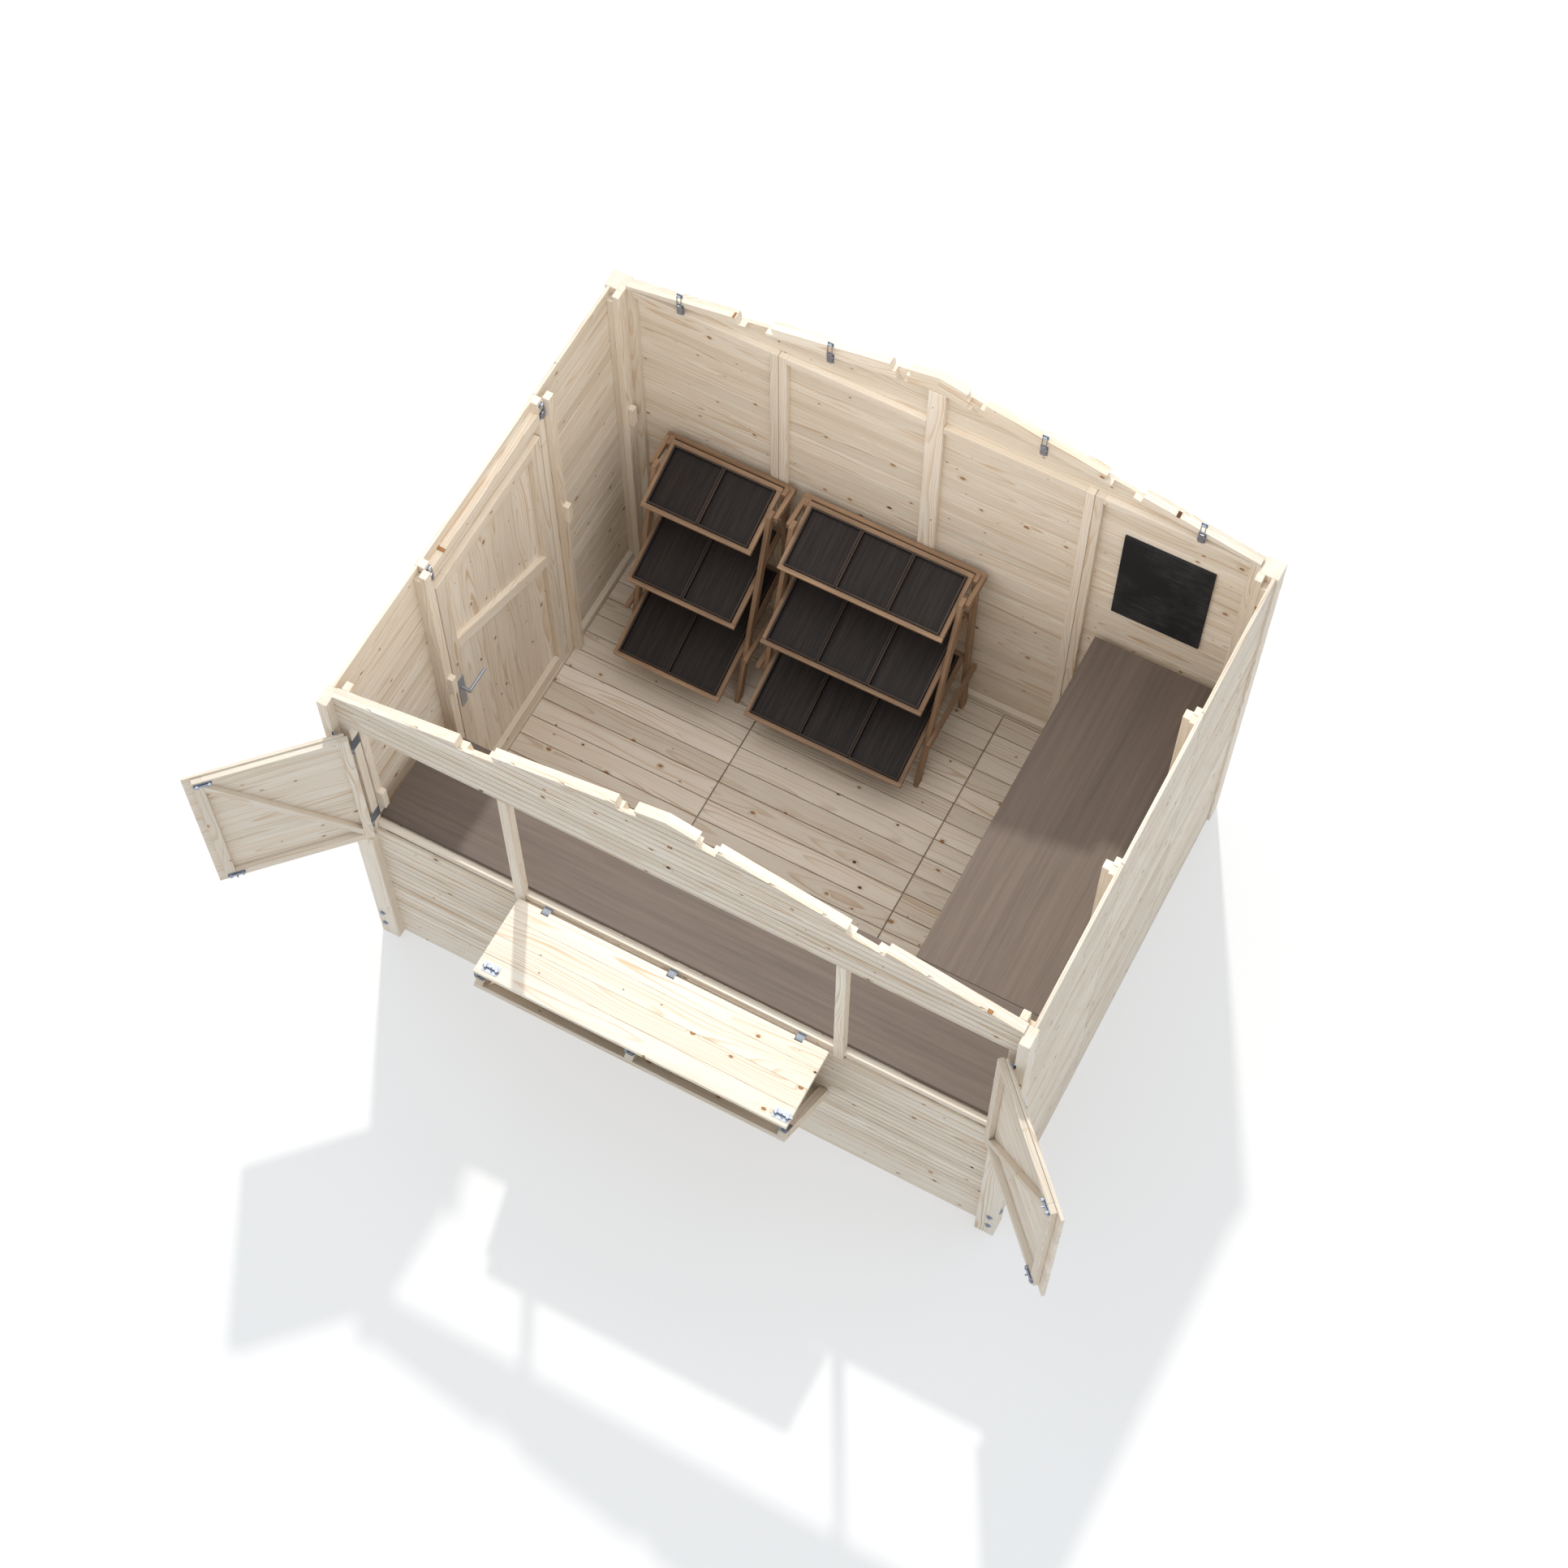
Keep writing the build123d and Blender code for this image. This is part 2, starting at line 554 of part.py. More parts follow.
# Door hinges: a strap on the outside of the door and a plate on the jamb
door_axis = (SIDE_SET - DOOR_AXIS_OUT, DOOR_Y1 - JAMB - DOOR_GAP / 2)
strap_x = DOOR_AXIS_OUT - HINGE_PLATE
jamb_plate = block(
    strap_x, DOOR_AXIS_OUT, KNUCKLE_D / 2 + PIN_RUN, JAMB - HINGE_INSET, -HINGE_H / 2, HINGE_H / 2
)
for side in (-1, 1):
    z = side * third
    jamb_plate += block(
        0, DOOR_AXIS_OUT, 0, KNUCKLE_D / 2 + HINGE_LAP, z - third / 2 + PIN_RUN, z + third / 2 - PIN_RUN
    )
strap = block(strap_x, DOOR_AXIS_OUT, -DOOR_STRAP, -DOOR_GAP / 2, -third / 2 + PIN_RUN, third / 2 - PIN_RUN)
strap += block(0, DOOR_AXIS_OUT, -DOOR_GAP / 2 - HINGE_LAP, 0, -third / 2 + PIN_RUN, third / 2 - PIN_RUN)
jamb_hinge, strap_hinge = knuckles(HINGE_H, jamb_plate, strap)
jamb_hinges = []
strap_hinges = []
for z in DOOR_HINGE_Z:
    place = Pos(door_axis[0], door_axis[1], z)
    jamb_hinges.append(place * jamb_hinge)
    strap_hinges.append(place * strap_hinge)
save("side_door_hinges", Compound(strap_hinges))

# Folding counter: a board hinged at the sill and a leaf hinged to its front edge. The leaf braces the
# open board against the apron, and with both raised it lies in line above the board.
FLAP_UNDER = FLAP_TOP - FLAP_T
FLAP_BACK = FLAP_AXIS_Y + FLAP_T / 2 - FLAP_BACK_IN
SUPPORT_AXIS_Y = FLAP_FRONT + SUPPORT_SET_BACK
SUPPORT_AXIS_Z = FLAP_TOP - SUPPORT_DROP
board = block(FLAP_X0, FLAP_X1, FLAP_FRONT, FLAP_BACK, FLAP_UNDER, FLAP_TOP)


def along_x(shape):
    """Lay a shape that was drawn about the upright axis along the stall's front."""
    return Rot(0, 90, 0) * shape


sill_hinges = []
for x in COUNTER_HINGE_X:
    half = COUNTER_HINGE_W / 2
    board -= block(
        x - half - HINGE_LAP, x + half + HINGE_LAP, FLAP_AXIS_Y - KNUCKLE_D, FLAP_BACK, FLAP_UNDER, FLAP_TOP
    )
    place = Pos(x, FLAP_AXIS_Y, FLAP_AXIS_Z)
    board += place * along_x(barrel(COUNTER_HINGE_W + PIN_EXTRA, PIN_D))
    bracket = place * block(-half, half, 0, FRONT_IN - FLAP_AXIS_Y, -HINGE_PLATE, HINGE_PLATE)
    bracket += place * along_x(barrel(COUNTER_HINGE_W, KNUCKLE_D))
    bracket -= place * along_x(barrel(COUNTER_HINGE_W + 2 * HINGE_LAP, PIN_D + 2 * PIN_RUN))
    sill_hinges.append(bracket)
save("counter_board", board)
save("frame_hinges", Compound(fixed_leaves + jamb_hinges + sill_hinges))


def tilt(shape):
    """Place the support leaf, drawn level from its hinge axis, at its resting slope."""
    return Pos(0, SUPPORT_AXIS_Y, SUPPORT_AXIS_Z) * Rot(-SUPPORT_ANGLE, 0, 0) * shape


support_start = SUPPORT_SET_BACK + FLAP_GAP
support_reach = FRONT_SET - SUPPORT_END_GAP - SUPPORT_AXIS_Y
support_len = (support_reach + SUPPORT_DROP) / math.cos(math.radians(SUPPORT_ANGLE))
clad_under = -SUPPORT_DROP
clad_top = clad_under + SUPPORT_CLAD
stile_top = clad_top + SUPPORT_STILE
support = block(FLAP_X0, FLAP_X1, support_start, support_len, clad_under, clad_top)
stile_mid = (FLAP_X0 + FLAP_X1 - SUPPORT_STILE_W) / 2
for x in (FLAP_X0, stile_mid, FLAP_X1 - SUPPORT_STILE_W):
    support += block(x, x + SUPPORT_STILE_W, support_start, support_len, clad_top, stile_top)
support = tilt(support) & block(
    FLAP_X0, FLAP_X1, FLAP_FRONT - support_len, FRONT_SET - SUPPORT_END_GAP, 0, FLAP_TOP
)
save("counter_support", support)

# Hinges between the board and the leaf, one at each stile
board_plates = []
leaf_plates = []
for x in (FLAP_X0, stile_mid, FLAP_X1 - SUPPORT_STILE_W):
    a = x + HINGE_INSET
    b = x + SUPPORT_STILE_W - HINGE_INSET
    mid = (a + b) / 2
    half = HINGE_PLATE / 2
    upper = block(a, mid - PIN_RUN, FLAP_FRONT, FLAP_FRONT + HINGE_PLATE, SUPPORT_AXIS_Z, FLAP_UNDER)
    upper += block(
        a, mid - PIN_RUN, FLAP_FRONT, SUPPORT_AXIS_Y, SUPPORT_AXIS_Z - half, SUPPORT_AXIS_Z + half
    )
    place = Pos((a + mid) / 2, SUPPORT_AXIS_Y, SUPPORT_AXIS_Z)
    upper += place * along_x(barrel(mid - a - 2 * PIN_RUN, KNUCKLE_D))
    upper += Pos(mid, SUPPORT_AXIS_Y, SUPPORT_AXIS_Z) * along_x(barrel(b - a - HINGE_INSET, PIN_D))
    board_plates.append(upper)
    plate_top = stile_top + HINGE_PLATE
    lower = block(mid + PIN_RUN, b, support_start, support_start + HINGE_H, stile_top, plate_top)
    lower += block(mid + PIN_RUN, b, 0, support_start + HINGE_LAP, stile_top, plate_top)
    lower += block(mid + PIN_RUN, b, -HINGE_PLATE / 2, HINGE_PLATE / 2, stile_top, 0)
    lower += Pos((mid + b) / 2 + PIN_RUN / 2, 0, 0) * along_x(barrel(b - mid - PIN_RUN, KNUCKLE_D))
    lower -= Pos(mid, 0, 0) * along_x(barrel(b - a, PIN_D + 2 * PIN_RUN))
    leaf_plates.append(tilt(lower))
save("counter_board_hinges", Compound(board_plates))
save("counter_support_hinges", Compound(leaf_plates))

# Worktop along the front and the right wall
TOP_UNDER = WORKTOP_TOP - WORKTOP_T
top_y0 = FRONT_FACE + WORKTOP_GAP
top_y1 = top_y0 + WORKTOP_FRONT_DEPTH
top_x0 = SIDE_FACE + INNER_POST + WORKTOP_GAP
top_x1 = WIDTH - SIDE_FACE - INNER_POST - WORKTOP_GAP
side_x0 = top_x1 - WORKTOP_SIDE_W
save("worktop_front", block(top_x0, top_x1, top_y0, top_y1, TOP_UNDER, WORKTOP_TOP))
save(
    "worktop_side",
    block(side_x0, top_x1, top_y1 + WORKTOP_GAP / 2, BACK_FACE - WORKTOP_GAP, TOP_UNDER, WORKTOP_TOP),
)
legs = []
front_leg_y = top_y1 - WORKTOP_LEG - WORKTOP_LEG_IN
for x, y in (
    (top_x0 + WORKTOP_LEG_IN, front_leg_y),
    (WORKTOP_MID_LEG_X, front_leg_y),
    (side_x0 + WORKTOP_LEG_IN, front_leg_y),
    (side_x0 + WORKTOP_LEG_IN, WORKTOP_MID_LEG_Y),
    (side_x0 + WORKTOP_LEG_IN, BACK_FACE - WORKTOP_GAP - WORKTOP_LEG - WORKTOP_LEG_IN),
):
    legs.append(block(x, x + WORKTOP_LEG, y, y + WORKTOP_LEG, FLOOR_TOP, TOP_UNDER))
save("worktop_legs", Compound(legs))


def rack_side(x, arm_x):
    """One side of a rack: a leaning front leg, an upright back leg and two arms beside them."""
    foot_y = BACK_FACE - RACK_FOOT_OUT
    top_y = BACK_FACE - RACK_TOP_OUT
    rail_y = BACK_FACE - RACK_WALL_GAP - RACK_BAR
    leg = [
        (foot_y, FLOOR_TOP),
        (foot_y + RACK_LEG_DEPTH, FLOOR_TOP),
        (top_y + RACK_LEG_DEPTH, RACK_TOP_Z),
        (top_y, RACK_TOP_Z),
    ]
    side = side_profile(leg, x, x + RACK_BAR)
    side += block(x, x + RACK_BAR, rail_y - RACK_LEG_DEPTH, rail_y, FLOOR_TOP, RACK_TOP_Z)
    rail_z = RACK_TOP_Z - RACK_RAIL_DOWN
    side += block(arm_x, arm_x + RACK_BAR, BACK_FACE - RACK_RAIL_OUT, rail_y, rail_z, rail_z + RACK_RAIL_H)
    arm_end = BACK_FACE - RACK_WALL_GAP
    side += block(
        arm_x, arm_x + RACK_BAR, BACK_FACE - RACK_ARM_OUT, arm_end, RACK_ARM_Z, RACK_ARM_Z + RACK_ARM_H
    )
    return side


def rack_tier(x0, x1, depth):
    """The frame of one tier with the slats that its trays rest on, drawn level."""
    bar = RACK_BAR
    tier = block(x0, x1, 0, bar, 0, bar)
    tier += block(x0, x1, depth - bar, depth, 0, bar)
    for x in (x0, x1 - bar):
        tier += block(x, x + bar, 0, depth, 0, bar)
    spans = round((depth - bar) / RACK_SLAT_STEP)
    for index in range(1, spans):
        y = index * (depth - bar) / spans
        tier += block(x0, x1, y, y + bar, 0, RACK_SLAT_T)
    return tier


def rack_trays(x0, x1, depth, columns):
    """The open trays that fill one tier side by side, drawn level."""
    span = (x1 - x0 - 2 * RACK_BAR) / columns
    y0 = RACK_BAR + TRAY_RUN
    y1 = depth - RACK_BAR - TRAY_RUN
    top = RACK_SLAT_T + TRAY_H
    trays = []
    for column in range(columns):
        a = x0 + RACK_BAR + column * span + TRAY_RUN
        b = a + span - 2 * TRAY_RUN
        tray = block(a, b, y0, y1, RACK_SLAT_T, top)
        tray -= block(
            a + TRAY_WALL, b - TRAY_WALL, y0 + TRAY_WALL, y1 - TRAY_WALL, RACK_SLAT_T + TRAY_FLOOR, top
        )
        trays.append(tray)
    return trays


def rack(name, x0, x1, columns):
    """A bread rack: sloping tiers of trays held between two sides, with a rail along the back."""
    arms_x0 = x0 - 2 * RACK_BAR
    arms_x1 = x1 + 2 * RACK_BAR
    rail_y = BACK_FACE - RACK_WALL_GAP - RACK_BAR
    rail_z = RACK_TOP_Z - RACK_RAIL_DOWN
    rail = block(arms_x0, arms_x1, rail_y, rail_y + RACK_BAR, rail_z, rail_z + RACK_RAIL_H)
    sides = rack_side(x0 - RACK_BAR, arms_x0) + rail + rack_side(x1, x1 + RACK_BAR)
    tiers = []
    trays = []
    for out, z in zip(RACK_TIER_OUT, RACK_TIER_Z):
        place = Pos(0, BACK_FACE - out, z) * Rot(RACK_SLOPE, 0, 0)
        depth = (out - RACK_TIER_BACK) / math.cos(math.radians(RACK_SLOPE))
        tiers.append(place * rack_tier(x0, x1, depth))
        trays += [place * tray for tray in rack_trays(x0, x1, depth, columns)]
    save(name + "_sides", sides)
    save(name + "_shelves", Compound(tiers))
    save(name + "_trays", Compound(trays))


rack("bread_rack_small", *SMALL_RACK_X, 2)
rack("bread_rack_large", *LARGE_RACK_X, 3)

# Blackboard on the right back panel
board_x1 = WIDTH - BOARD_RIGHT
board_z1 = EAVES - BOARD_DOWN
board_w, board_h = BOARD_SIZE
blackboard = block(board_x1 - board_w, board_x1, BACK_IN - BOARD_T, BACK_IN, board_z1 - board_h, board_z1)
save("blackboard", blackboard)
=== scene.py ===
"""Looks of a wooden market stall: boards, frames, racks, worktop, fittings and the stage."""
import json
import math
import random
from itertools import product

import bpy
import bmesh
from mathutils import Matrix, Vector


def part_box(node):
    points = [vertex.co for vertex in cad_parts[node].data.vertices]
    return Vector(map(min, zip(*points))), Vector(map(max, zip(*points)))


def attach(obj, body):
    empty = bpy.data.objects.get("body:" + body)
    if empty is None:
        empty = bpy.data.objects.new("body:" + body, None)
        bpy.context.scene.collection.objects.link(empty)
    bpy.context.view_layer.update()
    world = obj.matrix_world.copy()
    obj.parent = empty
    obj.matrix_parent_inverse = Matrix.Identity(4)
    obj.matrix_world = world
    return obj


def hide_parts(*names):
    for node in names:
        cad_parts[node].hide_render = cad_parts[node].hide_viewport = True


bl_info = {
    "name": "Wooden market stall",
    "version": (1, 0, 0),
    "blender": (4, 5, 0),
    "location": "View3D > Sidebar > Market stall",
    "description": "Builds the boards, frames, racks, worktop and fittings of a timber market stall",
    "category": "Object",
}

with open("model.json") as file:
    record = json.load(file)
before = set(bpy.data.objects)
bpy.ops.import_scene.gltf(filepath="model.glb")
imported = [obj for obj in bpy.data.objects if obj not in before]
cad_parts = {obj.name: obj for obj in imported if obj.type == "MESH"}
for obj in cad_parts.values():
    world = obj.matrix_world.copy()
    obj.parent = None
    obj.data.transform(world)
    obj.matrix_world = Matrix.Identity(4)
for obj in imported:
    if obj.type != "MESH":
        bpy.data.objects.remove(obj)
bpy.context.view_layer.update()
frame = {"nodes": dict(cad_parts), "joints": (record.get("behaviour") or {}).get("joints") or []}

# Footprint: corner coordinates run from the outer corner of the front left post
WIDTH = 3.0
DEPTH = 2.291
TO_CORNER = Vector((WIDTH / 2, DEPTH / 2, 0))

X_AXIS = RIGHT_OUT = Vector((1, 0, 0))
Y_AXIS = BACK_OUT = Vector((0, 1, 0))
UP = Vector((0, 0, 1))
LEFT_OUT, FRONT_OUT, DOWN = -X_AXIS, -Y_AXIS, -UP

# Which slot of a framed piece its battens take; its boards take the first
FRAME = 1

# Corners of a CAD solid that are nearer than this are one
WELD = 0.00002

# A solid that fills this share of its box is a plain block
BLOCK_SHARE = 0.998

# No eased edge takes more than this share of the thinnest side
MOST_EASED = 0.3

# Where bars are cut from their logs: beside the heart, above or below it, and along it
HEART_SIDE = 0.05
HEART_DEPTH = (0.03, 0.085)
LOG_RUN = 60

# The narrowest strip left at an end of a row of boards, and the narrowest board with a middle groove
LEAST_STRIP = 0.012
LEAST_GROOVED = 0.06

# A length too small to be a board
HAIR = 0.002

# How far raw boards and bars stand past the solid that trims them
SPARE = 0.02

# Space between a bolt's plate and what it must clear
BOLT_CLEAR = 0.007


# Places and small helpers


def corner(x, y, z):
    """A point given from the front left corner, moved to the stall's centred frame."""
    return Vector((x - WIDTH / 2, y - DEPTH / 2, z))


def node_box(name):
    """Lowest and highest corner of a CAD node, from the front left corner."""
    low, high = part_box(name)
    return Vector(low) + TO_CORNER, Vector(high) + TO_CORNER


def span_of(points):
    """Lowest and highest corner of some points."""
    return tuple(Vector([pick(point[axis] for point in points) for axis in range(3)]) for pick in (min, max))


def settings():
    return bpy.context.scene.stall_sizes


def about(pivot, angle, axis):
    """The matrix of a turn about an axis through a point."""
    return Matrix.Translation(pivot) @ Matrix.Rotation(angle, 4, axis) @ Matrix.Translation(-pivot)


def joint(name):
    """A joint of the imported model."""
    return next(item for item in frame["joints"] if item["name"] == name)


def turned_about(name, angle):
    """The matrix that swings a piece about a joint's axis, in corner coordinates."""
    item = joint(name)
    return about(Vector(item["pos_m"]) + TO_CORNER, angle, Vector(item["axis"]))


# Solids, each a pair of points and faces


def eased_box(low, high, ease):
    """A box whose edges are lightly planed off."""
    ease = min(ease, min(high - low) * MOST_EASED)
    signs = list(product((0, 1), repeat=3))
    points = []
    index = {}
    for sign in signs:
        for axis in range(3):
            index[sign, axis] = len(points)
            points.append(Vector([
                (high if sign[other] else low)[other] + (0 if other == axis else ease * (1 - 2 * sign[other]))
                for other in range(3)
            ]))

    def at(axis, side, pair):
        """The corner at one side along an axis and at a pair of sides along the other two."""
        return (*pair[:axis], side, *pair[axis:])

    faces = []
    ring = ((0, 0), (1, 0), (1, 1), (0, 1))
    for axis in range(3):
        faces += [[index[at(axis, side, pair), axis] for pair in ring] for side in (0, 1)]
        a, b = (other for other in range(3) if other != axis)
        for pair in ring:
            first, last = at(axis, 0, pair), at(axis, 1, pair)
            faces.append([index[first, a], index[last, a], index[last, b], index[first, b]])
    faces += [[index[sign, axis] for axis in range(3)] for sign in signs]
    return points, faces


def plain_box(low, high):
    """A box with sharp edges."""
    points = [Vector(point) for point in product(*zip(low, high))]
    return points, [[0, 1, 3, 2], [4, 6, 7, 5], [0, 4, 5, 1], [2, 3, 7, 6], [0, 2, 6, 4], [1, 5, 7, 3]]


def moved(solid, place):
    """A solid moved by a matrix."""
    return [place @ point for point in solid[0]], solid[1]


def volume_of(solid):
    """Volume of a solid."""
    points, faces = solid
    total = 0.0
    for face in faces:
        for second, third in zip(face[1:], face[2:]):
            total += points[face[0]].dot(points[second].cross(points[third]))
    return abs(total) / 6


def node_solids(name):
    """The separate solids of a CAD node, in corner coordinates."""
    work = bmesh.new()
    work.from_mesh(frame["nodes"][name].data)
    bmesh.ops.remove_doubles(work, verts=work.verts, dist=WELD)
    bmesh.ops.translate(work, verts=work.verts, vec=TO_CORNER)
    seen = set()
    solids = []
    for start in work.verts:
        if start in seen:
            continue
        seen.add(start)
        stack = [start]
        group = []
        while stack:
            vert = stack.pop()
            group.append(vert)
            for edge in vert.link_edges:
                other = edge.other_vert(vert)
                if other not in seen:
                    seen.add(other)
                    stack.append(other)
        order = {vert: number for number, vert in enumerate(group)}
        faces = sorted({face for vert in group for face in vert.link_faces}, key=lambda face: face.index)
        solids.append(([vert.co.copy() for vert in group], [[order[vert] for vert in face.verts] for face in faces]))
    work.free()
    return solids


def largest(solids):
    """The solid with the most corners: the board or leaf itself, not a small part of it."""
    return max(solids, key=lambda solid: len(solid[0]))


def fix_normals(mesh):
    """Turn every face outwards."""
    work = bmesh.new()
    work.from_mesh(mesh)
    bmesh.ops.recalc_face_normals(work, faces=work.faces)
    work.to_mesh(mesh)
    work.free()
    mesh.update()


def trimmed(solid, tool):
    """The part of a solid that lies within another."""
    pair = []
    for points, faces in (solid, tool):
        mesh = bpy.data.meshes.new("cutter")
        mesh.from_pydata([tuple(point) for point in points], [], faces)
        fix_normals(mesh)
        pair.append(bpy.data.objects.new("cutter", mesh))
        bpy.context.scene.collection.objects.link(pair[-1])
    body, other = pair
    change = body.modifiers.new("cut", "BOOLEAN")
    change.operation = "INTERSECT"
    change.solver = "EXACT"
    change.object = other
    result = body.evaluated_get(bpy.context.evaluated_depsgraph_get()).to_mesh()
    points = [vert.co.copy() for vert in result.vertices]
    faces = [list(polygon.vertices) for polygon in result.polygons]
    body.to_mesh_clear()
    for used in pair:
        mesh = used.data
        bpy.data.objects.remove(used)
        bpy.data.meshes.remove(mesh)
    return points, faces


def dress(name, mesh, body, nodes):
    """Make the piece, fix it to its body, and hide the CAD nodes it replaces."""
    piece = bpy.data.objects.new(name, mesh)
    bpy.context.scene.collection.objects.link(piece)
    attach(piece, body)
    if nodes:
        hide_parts(*nodes)


# Timber meshes: every bar carries the coordinates of its own log, so grain runs along it


class Timber:
    """Gathers bars into one mesh, with wood coordinates and a tone for each bar."""

    def __init__(self, name, seed):
        self.name = name
        self.random = random.Random(seed)
        self.verts = []
        self.faces = []
        self.grain = []
        self.tone = []
        self.slots = []

    def log_place(self):
        """Where the bar was cut from its log: far along it, and beside and below the heart."""
        draw = self.random
        side = draw.uniform(-HEART_SIDE, HEART_SIDE)
        depth = draw.choice((-1, 1)) * draw.uniform(*HEART_DEPTH)
        return Vector((draw.uniform(0, LOG_RUN), side, depth))

    def add(self, solid, to_grain, place=None, slot=0):
        """Add one solid; to_grain turns its points into log coordinates, then place moves it."""
        points, faces = solid
        if not points:
            return
        log = self.log_place()
        base = len(self.verts)
        self.tone += [self.random.random()] * len(points)
        self.grain += [to_grain(point) + log for point in points]
        self.verts += [place @ point for point in points] if place else points
        self.faces += [[base + index for index in face] for face in faces]
        self.slots += [slot] * len(faces)

    def bar(self, low, high, along, ease=0.0018, place=None, slot=0, tool=None, turn=None):
        """A planed bar with its grain along one axis, turned by a matrix and trimmed to a solid."""
        low, high = Vector(low), Vector(high)
        middle, size = (low + high) / 2, high - low
        across = sorted((axis for axis in range(3) if axis != along), key=lambda axis: -size[axis])
        turn = turn or Matrix.Identity(4)
        back = turn.inverted()
        solid = eased_box(low, high, ease)
        if tool:
            solid = trimmed(moved(solid, turn), tool)

        def to_grain(point):
            offset = back @ point - middle
            return Vector([offset[axis] for axis in (along, *across)])

        self.add(solid, to_grain, place, slot)

    def node_bars(self, name, ease=0.0018):
        """One bar for each solid of a CAD node, trimmed where the solid isn't a plain block."""
        for solid in node_solids(name):
            low, high = span_of(solid[0])
            size = high - low
            along = max(range(3), key=lambda axis: size[axis])
            block = volume_of(solid) > BLOCK_SHARE * math.prod(size)
            self.bar(low, high, along, ease, tool=None if block else solid)

    def board(self, outline, start, length, along, across, out, place=None, tool=None, to_grain=None):
        """A board drawn by its cross-section: outline is (across, out) pairs, run along an axis."""
        count = len(outline)
        width = max(a for a, b in outline)
        points = [end + across * a + out * b for end in (start, start + along * length) for a, b in outline]
        faces = [list(range(count)), list(range(2 * count - 1, count - 1, -1))]
        for index in range(count):
            after = (index + 1) % count
            faces.append([index + count, after + count, after, index])

        def from_start(point):
            offset = point - start
            return Vector((offset.dot(along), offset.dot(across) - width / 2, offset.dot(out)))

        solid = trimmed((points, faces), tool) if tool else (points, faces)
        self.add(solid, to_grain or from_start, place)

    def cladding(self, start, length, along, out, z0, z1, tool=None, place=None, first_joint=None,
                 plain_below=0.0):
        """Level boards from z0 to z1; start is the inner corner at one end."""
        sizes = settings()
        joints = [z0]
        joint_z = first_joint or sizes.first_joint
        while joint_z < z1 - HAIR:
            if joint_z > z0 + LEAST_STRIP:
                joints.append(joint_z)
            joint_z += sizes.board_pitch
        joints.append(z1)
        for low, high in zip(joints, joints[1:]):
            plain = high - low < LEAST_GROOVED or high <= plain_below + HAIR / 2
            outline = board_outline(high - low, sizes.cladding, plain)
            self.board(outline, Vector((start[0], start[1], low)), length, along, UP, out, place, tool)

    def build(self, looks, *nodes, body="stall", slot="pale_spruce"):
        """Make the mesh object in place of its CAD nodes; looks names the finish of each slot."""
        mesh = bpy.data.meshes.new(self.name)
        mesh.from_pydata([corner(*vert) for vert in self.verts], [], self.faces)
        log = mesh.attributes.new("log", "FLOAT_VECTOR", "POINT")
        log.data.foreach_set("vector", [value for vector in self.grain for value in vector])
        tone = mesh.attributes.new("tone", "FLOAT", "POINT")
        tone.data.foreach_set("value", self.tone)
        for look in looks.split():
            mesh.materials.append(MATERIALS[look])
        mesh.polygons.foreach_set("material_index", self.slots)
        fix_normals(mesh)
        dress(self.name, mesh, body, nodes)


def board_outline(height, thickness, plain=False):
    """Cross-section of a wall board: an open groove at each joint and a smaller one along the middle."""
    sizes = settings()
    gap = sizes.board_gap / 2
    groove = sizes.groove_width / 2
    shoulder = thickness - sizes.groove_depth
    bevel = sizes.board_bevel
    back = 0.0012
    outline = [
        (gap, back), (gap, shoulder), (groove, shoulder), (groove, thickness - bevel), (groove + bevel, thickness),
    ]
    if not plain:
        middle = height / 2
        mouth = sizes.cove_width / 2
        foot = mouth * 0.65
        deep = thickness - sizes.cove_depth
        outline += [
            (middle - mouth, thickness), (middle - foot, deep), (middle + foot, deep), (middle + mouth, thickness),
        ]
    return outline + [
        (height - groove - bevel, thickness), (height - groove, thickness - bevel), (height - groove, shoulder),
        (height - gap, shoulder), (height - gap, back), (height - gap - back, 0.0), (gap + back, 0.0),
    ]


def wall_panel(node, out, seed, stiles=(True, True), top_rail=True):
    """A framed panel: boards outside, stiles and rails inside, standing where the CAD node stands."""
    sizes = settings()
    low, high = node_box(node)
    timber = Timber(node.replace("_panel", "_boards"), seed)
    axis = 0 if abs(out.y) > 0.5 else 1
    face = 1 - axis
    inner, outer = (low, high) if out[face] > 0 else (high, low)
    seam = outer[face] - out[face] * sizes.cladding
    start = [0, 0]
    start[axis], start[face] = low[axis] + sizes.board_gap / 2, seam
    length = high[axis] - low[axis] - sizes.board_gap
    timber.cladding(start, length, (X_AXIS, Y_AXIS)[axis], out, low.z, high.z)
    near, far = sorted((inner[face], seam))
    batten = sizes.batten_width
    left, right = low[axis] + batten, high[axis] - batten
    stile_top = high.z if top_rail else high.z - sizes.stile_down
    bars = (
        (stiles[0], low[axis], left, low.z, stile_top, 2),
        (stiles[1], right, high[axis], low.z, stile_top, 2),
        (True, left, right, low.z, sizes.floor_top + batten, axis),
        (top_rail, left, right, high.z - batten, high.z, axis),
    )
    for wanted, a0, a1, z0, z1, grain in bars:
        if wanted:
            first, last = [near, near, z0], [far, far, z1]
            first[axis], last[axis] = a0, a1
            timber.bar(first, last, grain, slot=FRAME)
    timber.build("cladding battens", node)


# Finishes

MATERIALS = {}

# How many cells, each with one knot or none, fill a metre along a board
KNOT_CELLS = 6.0


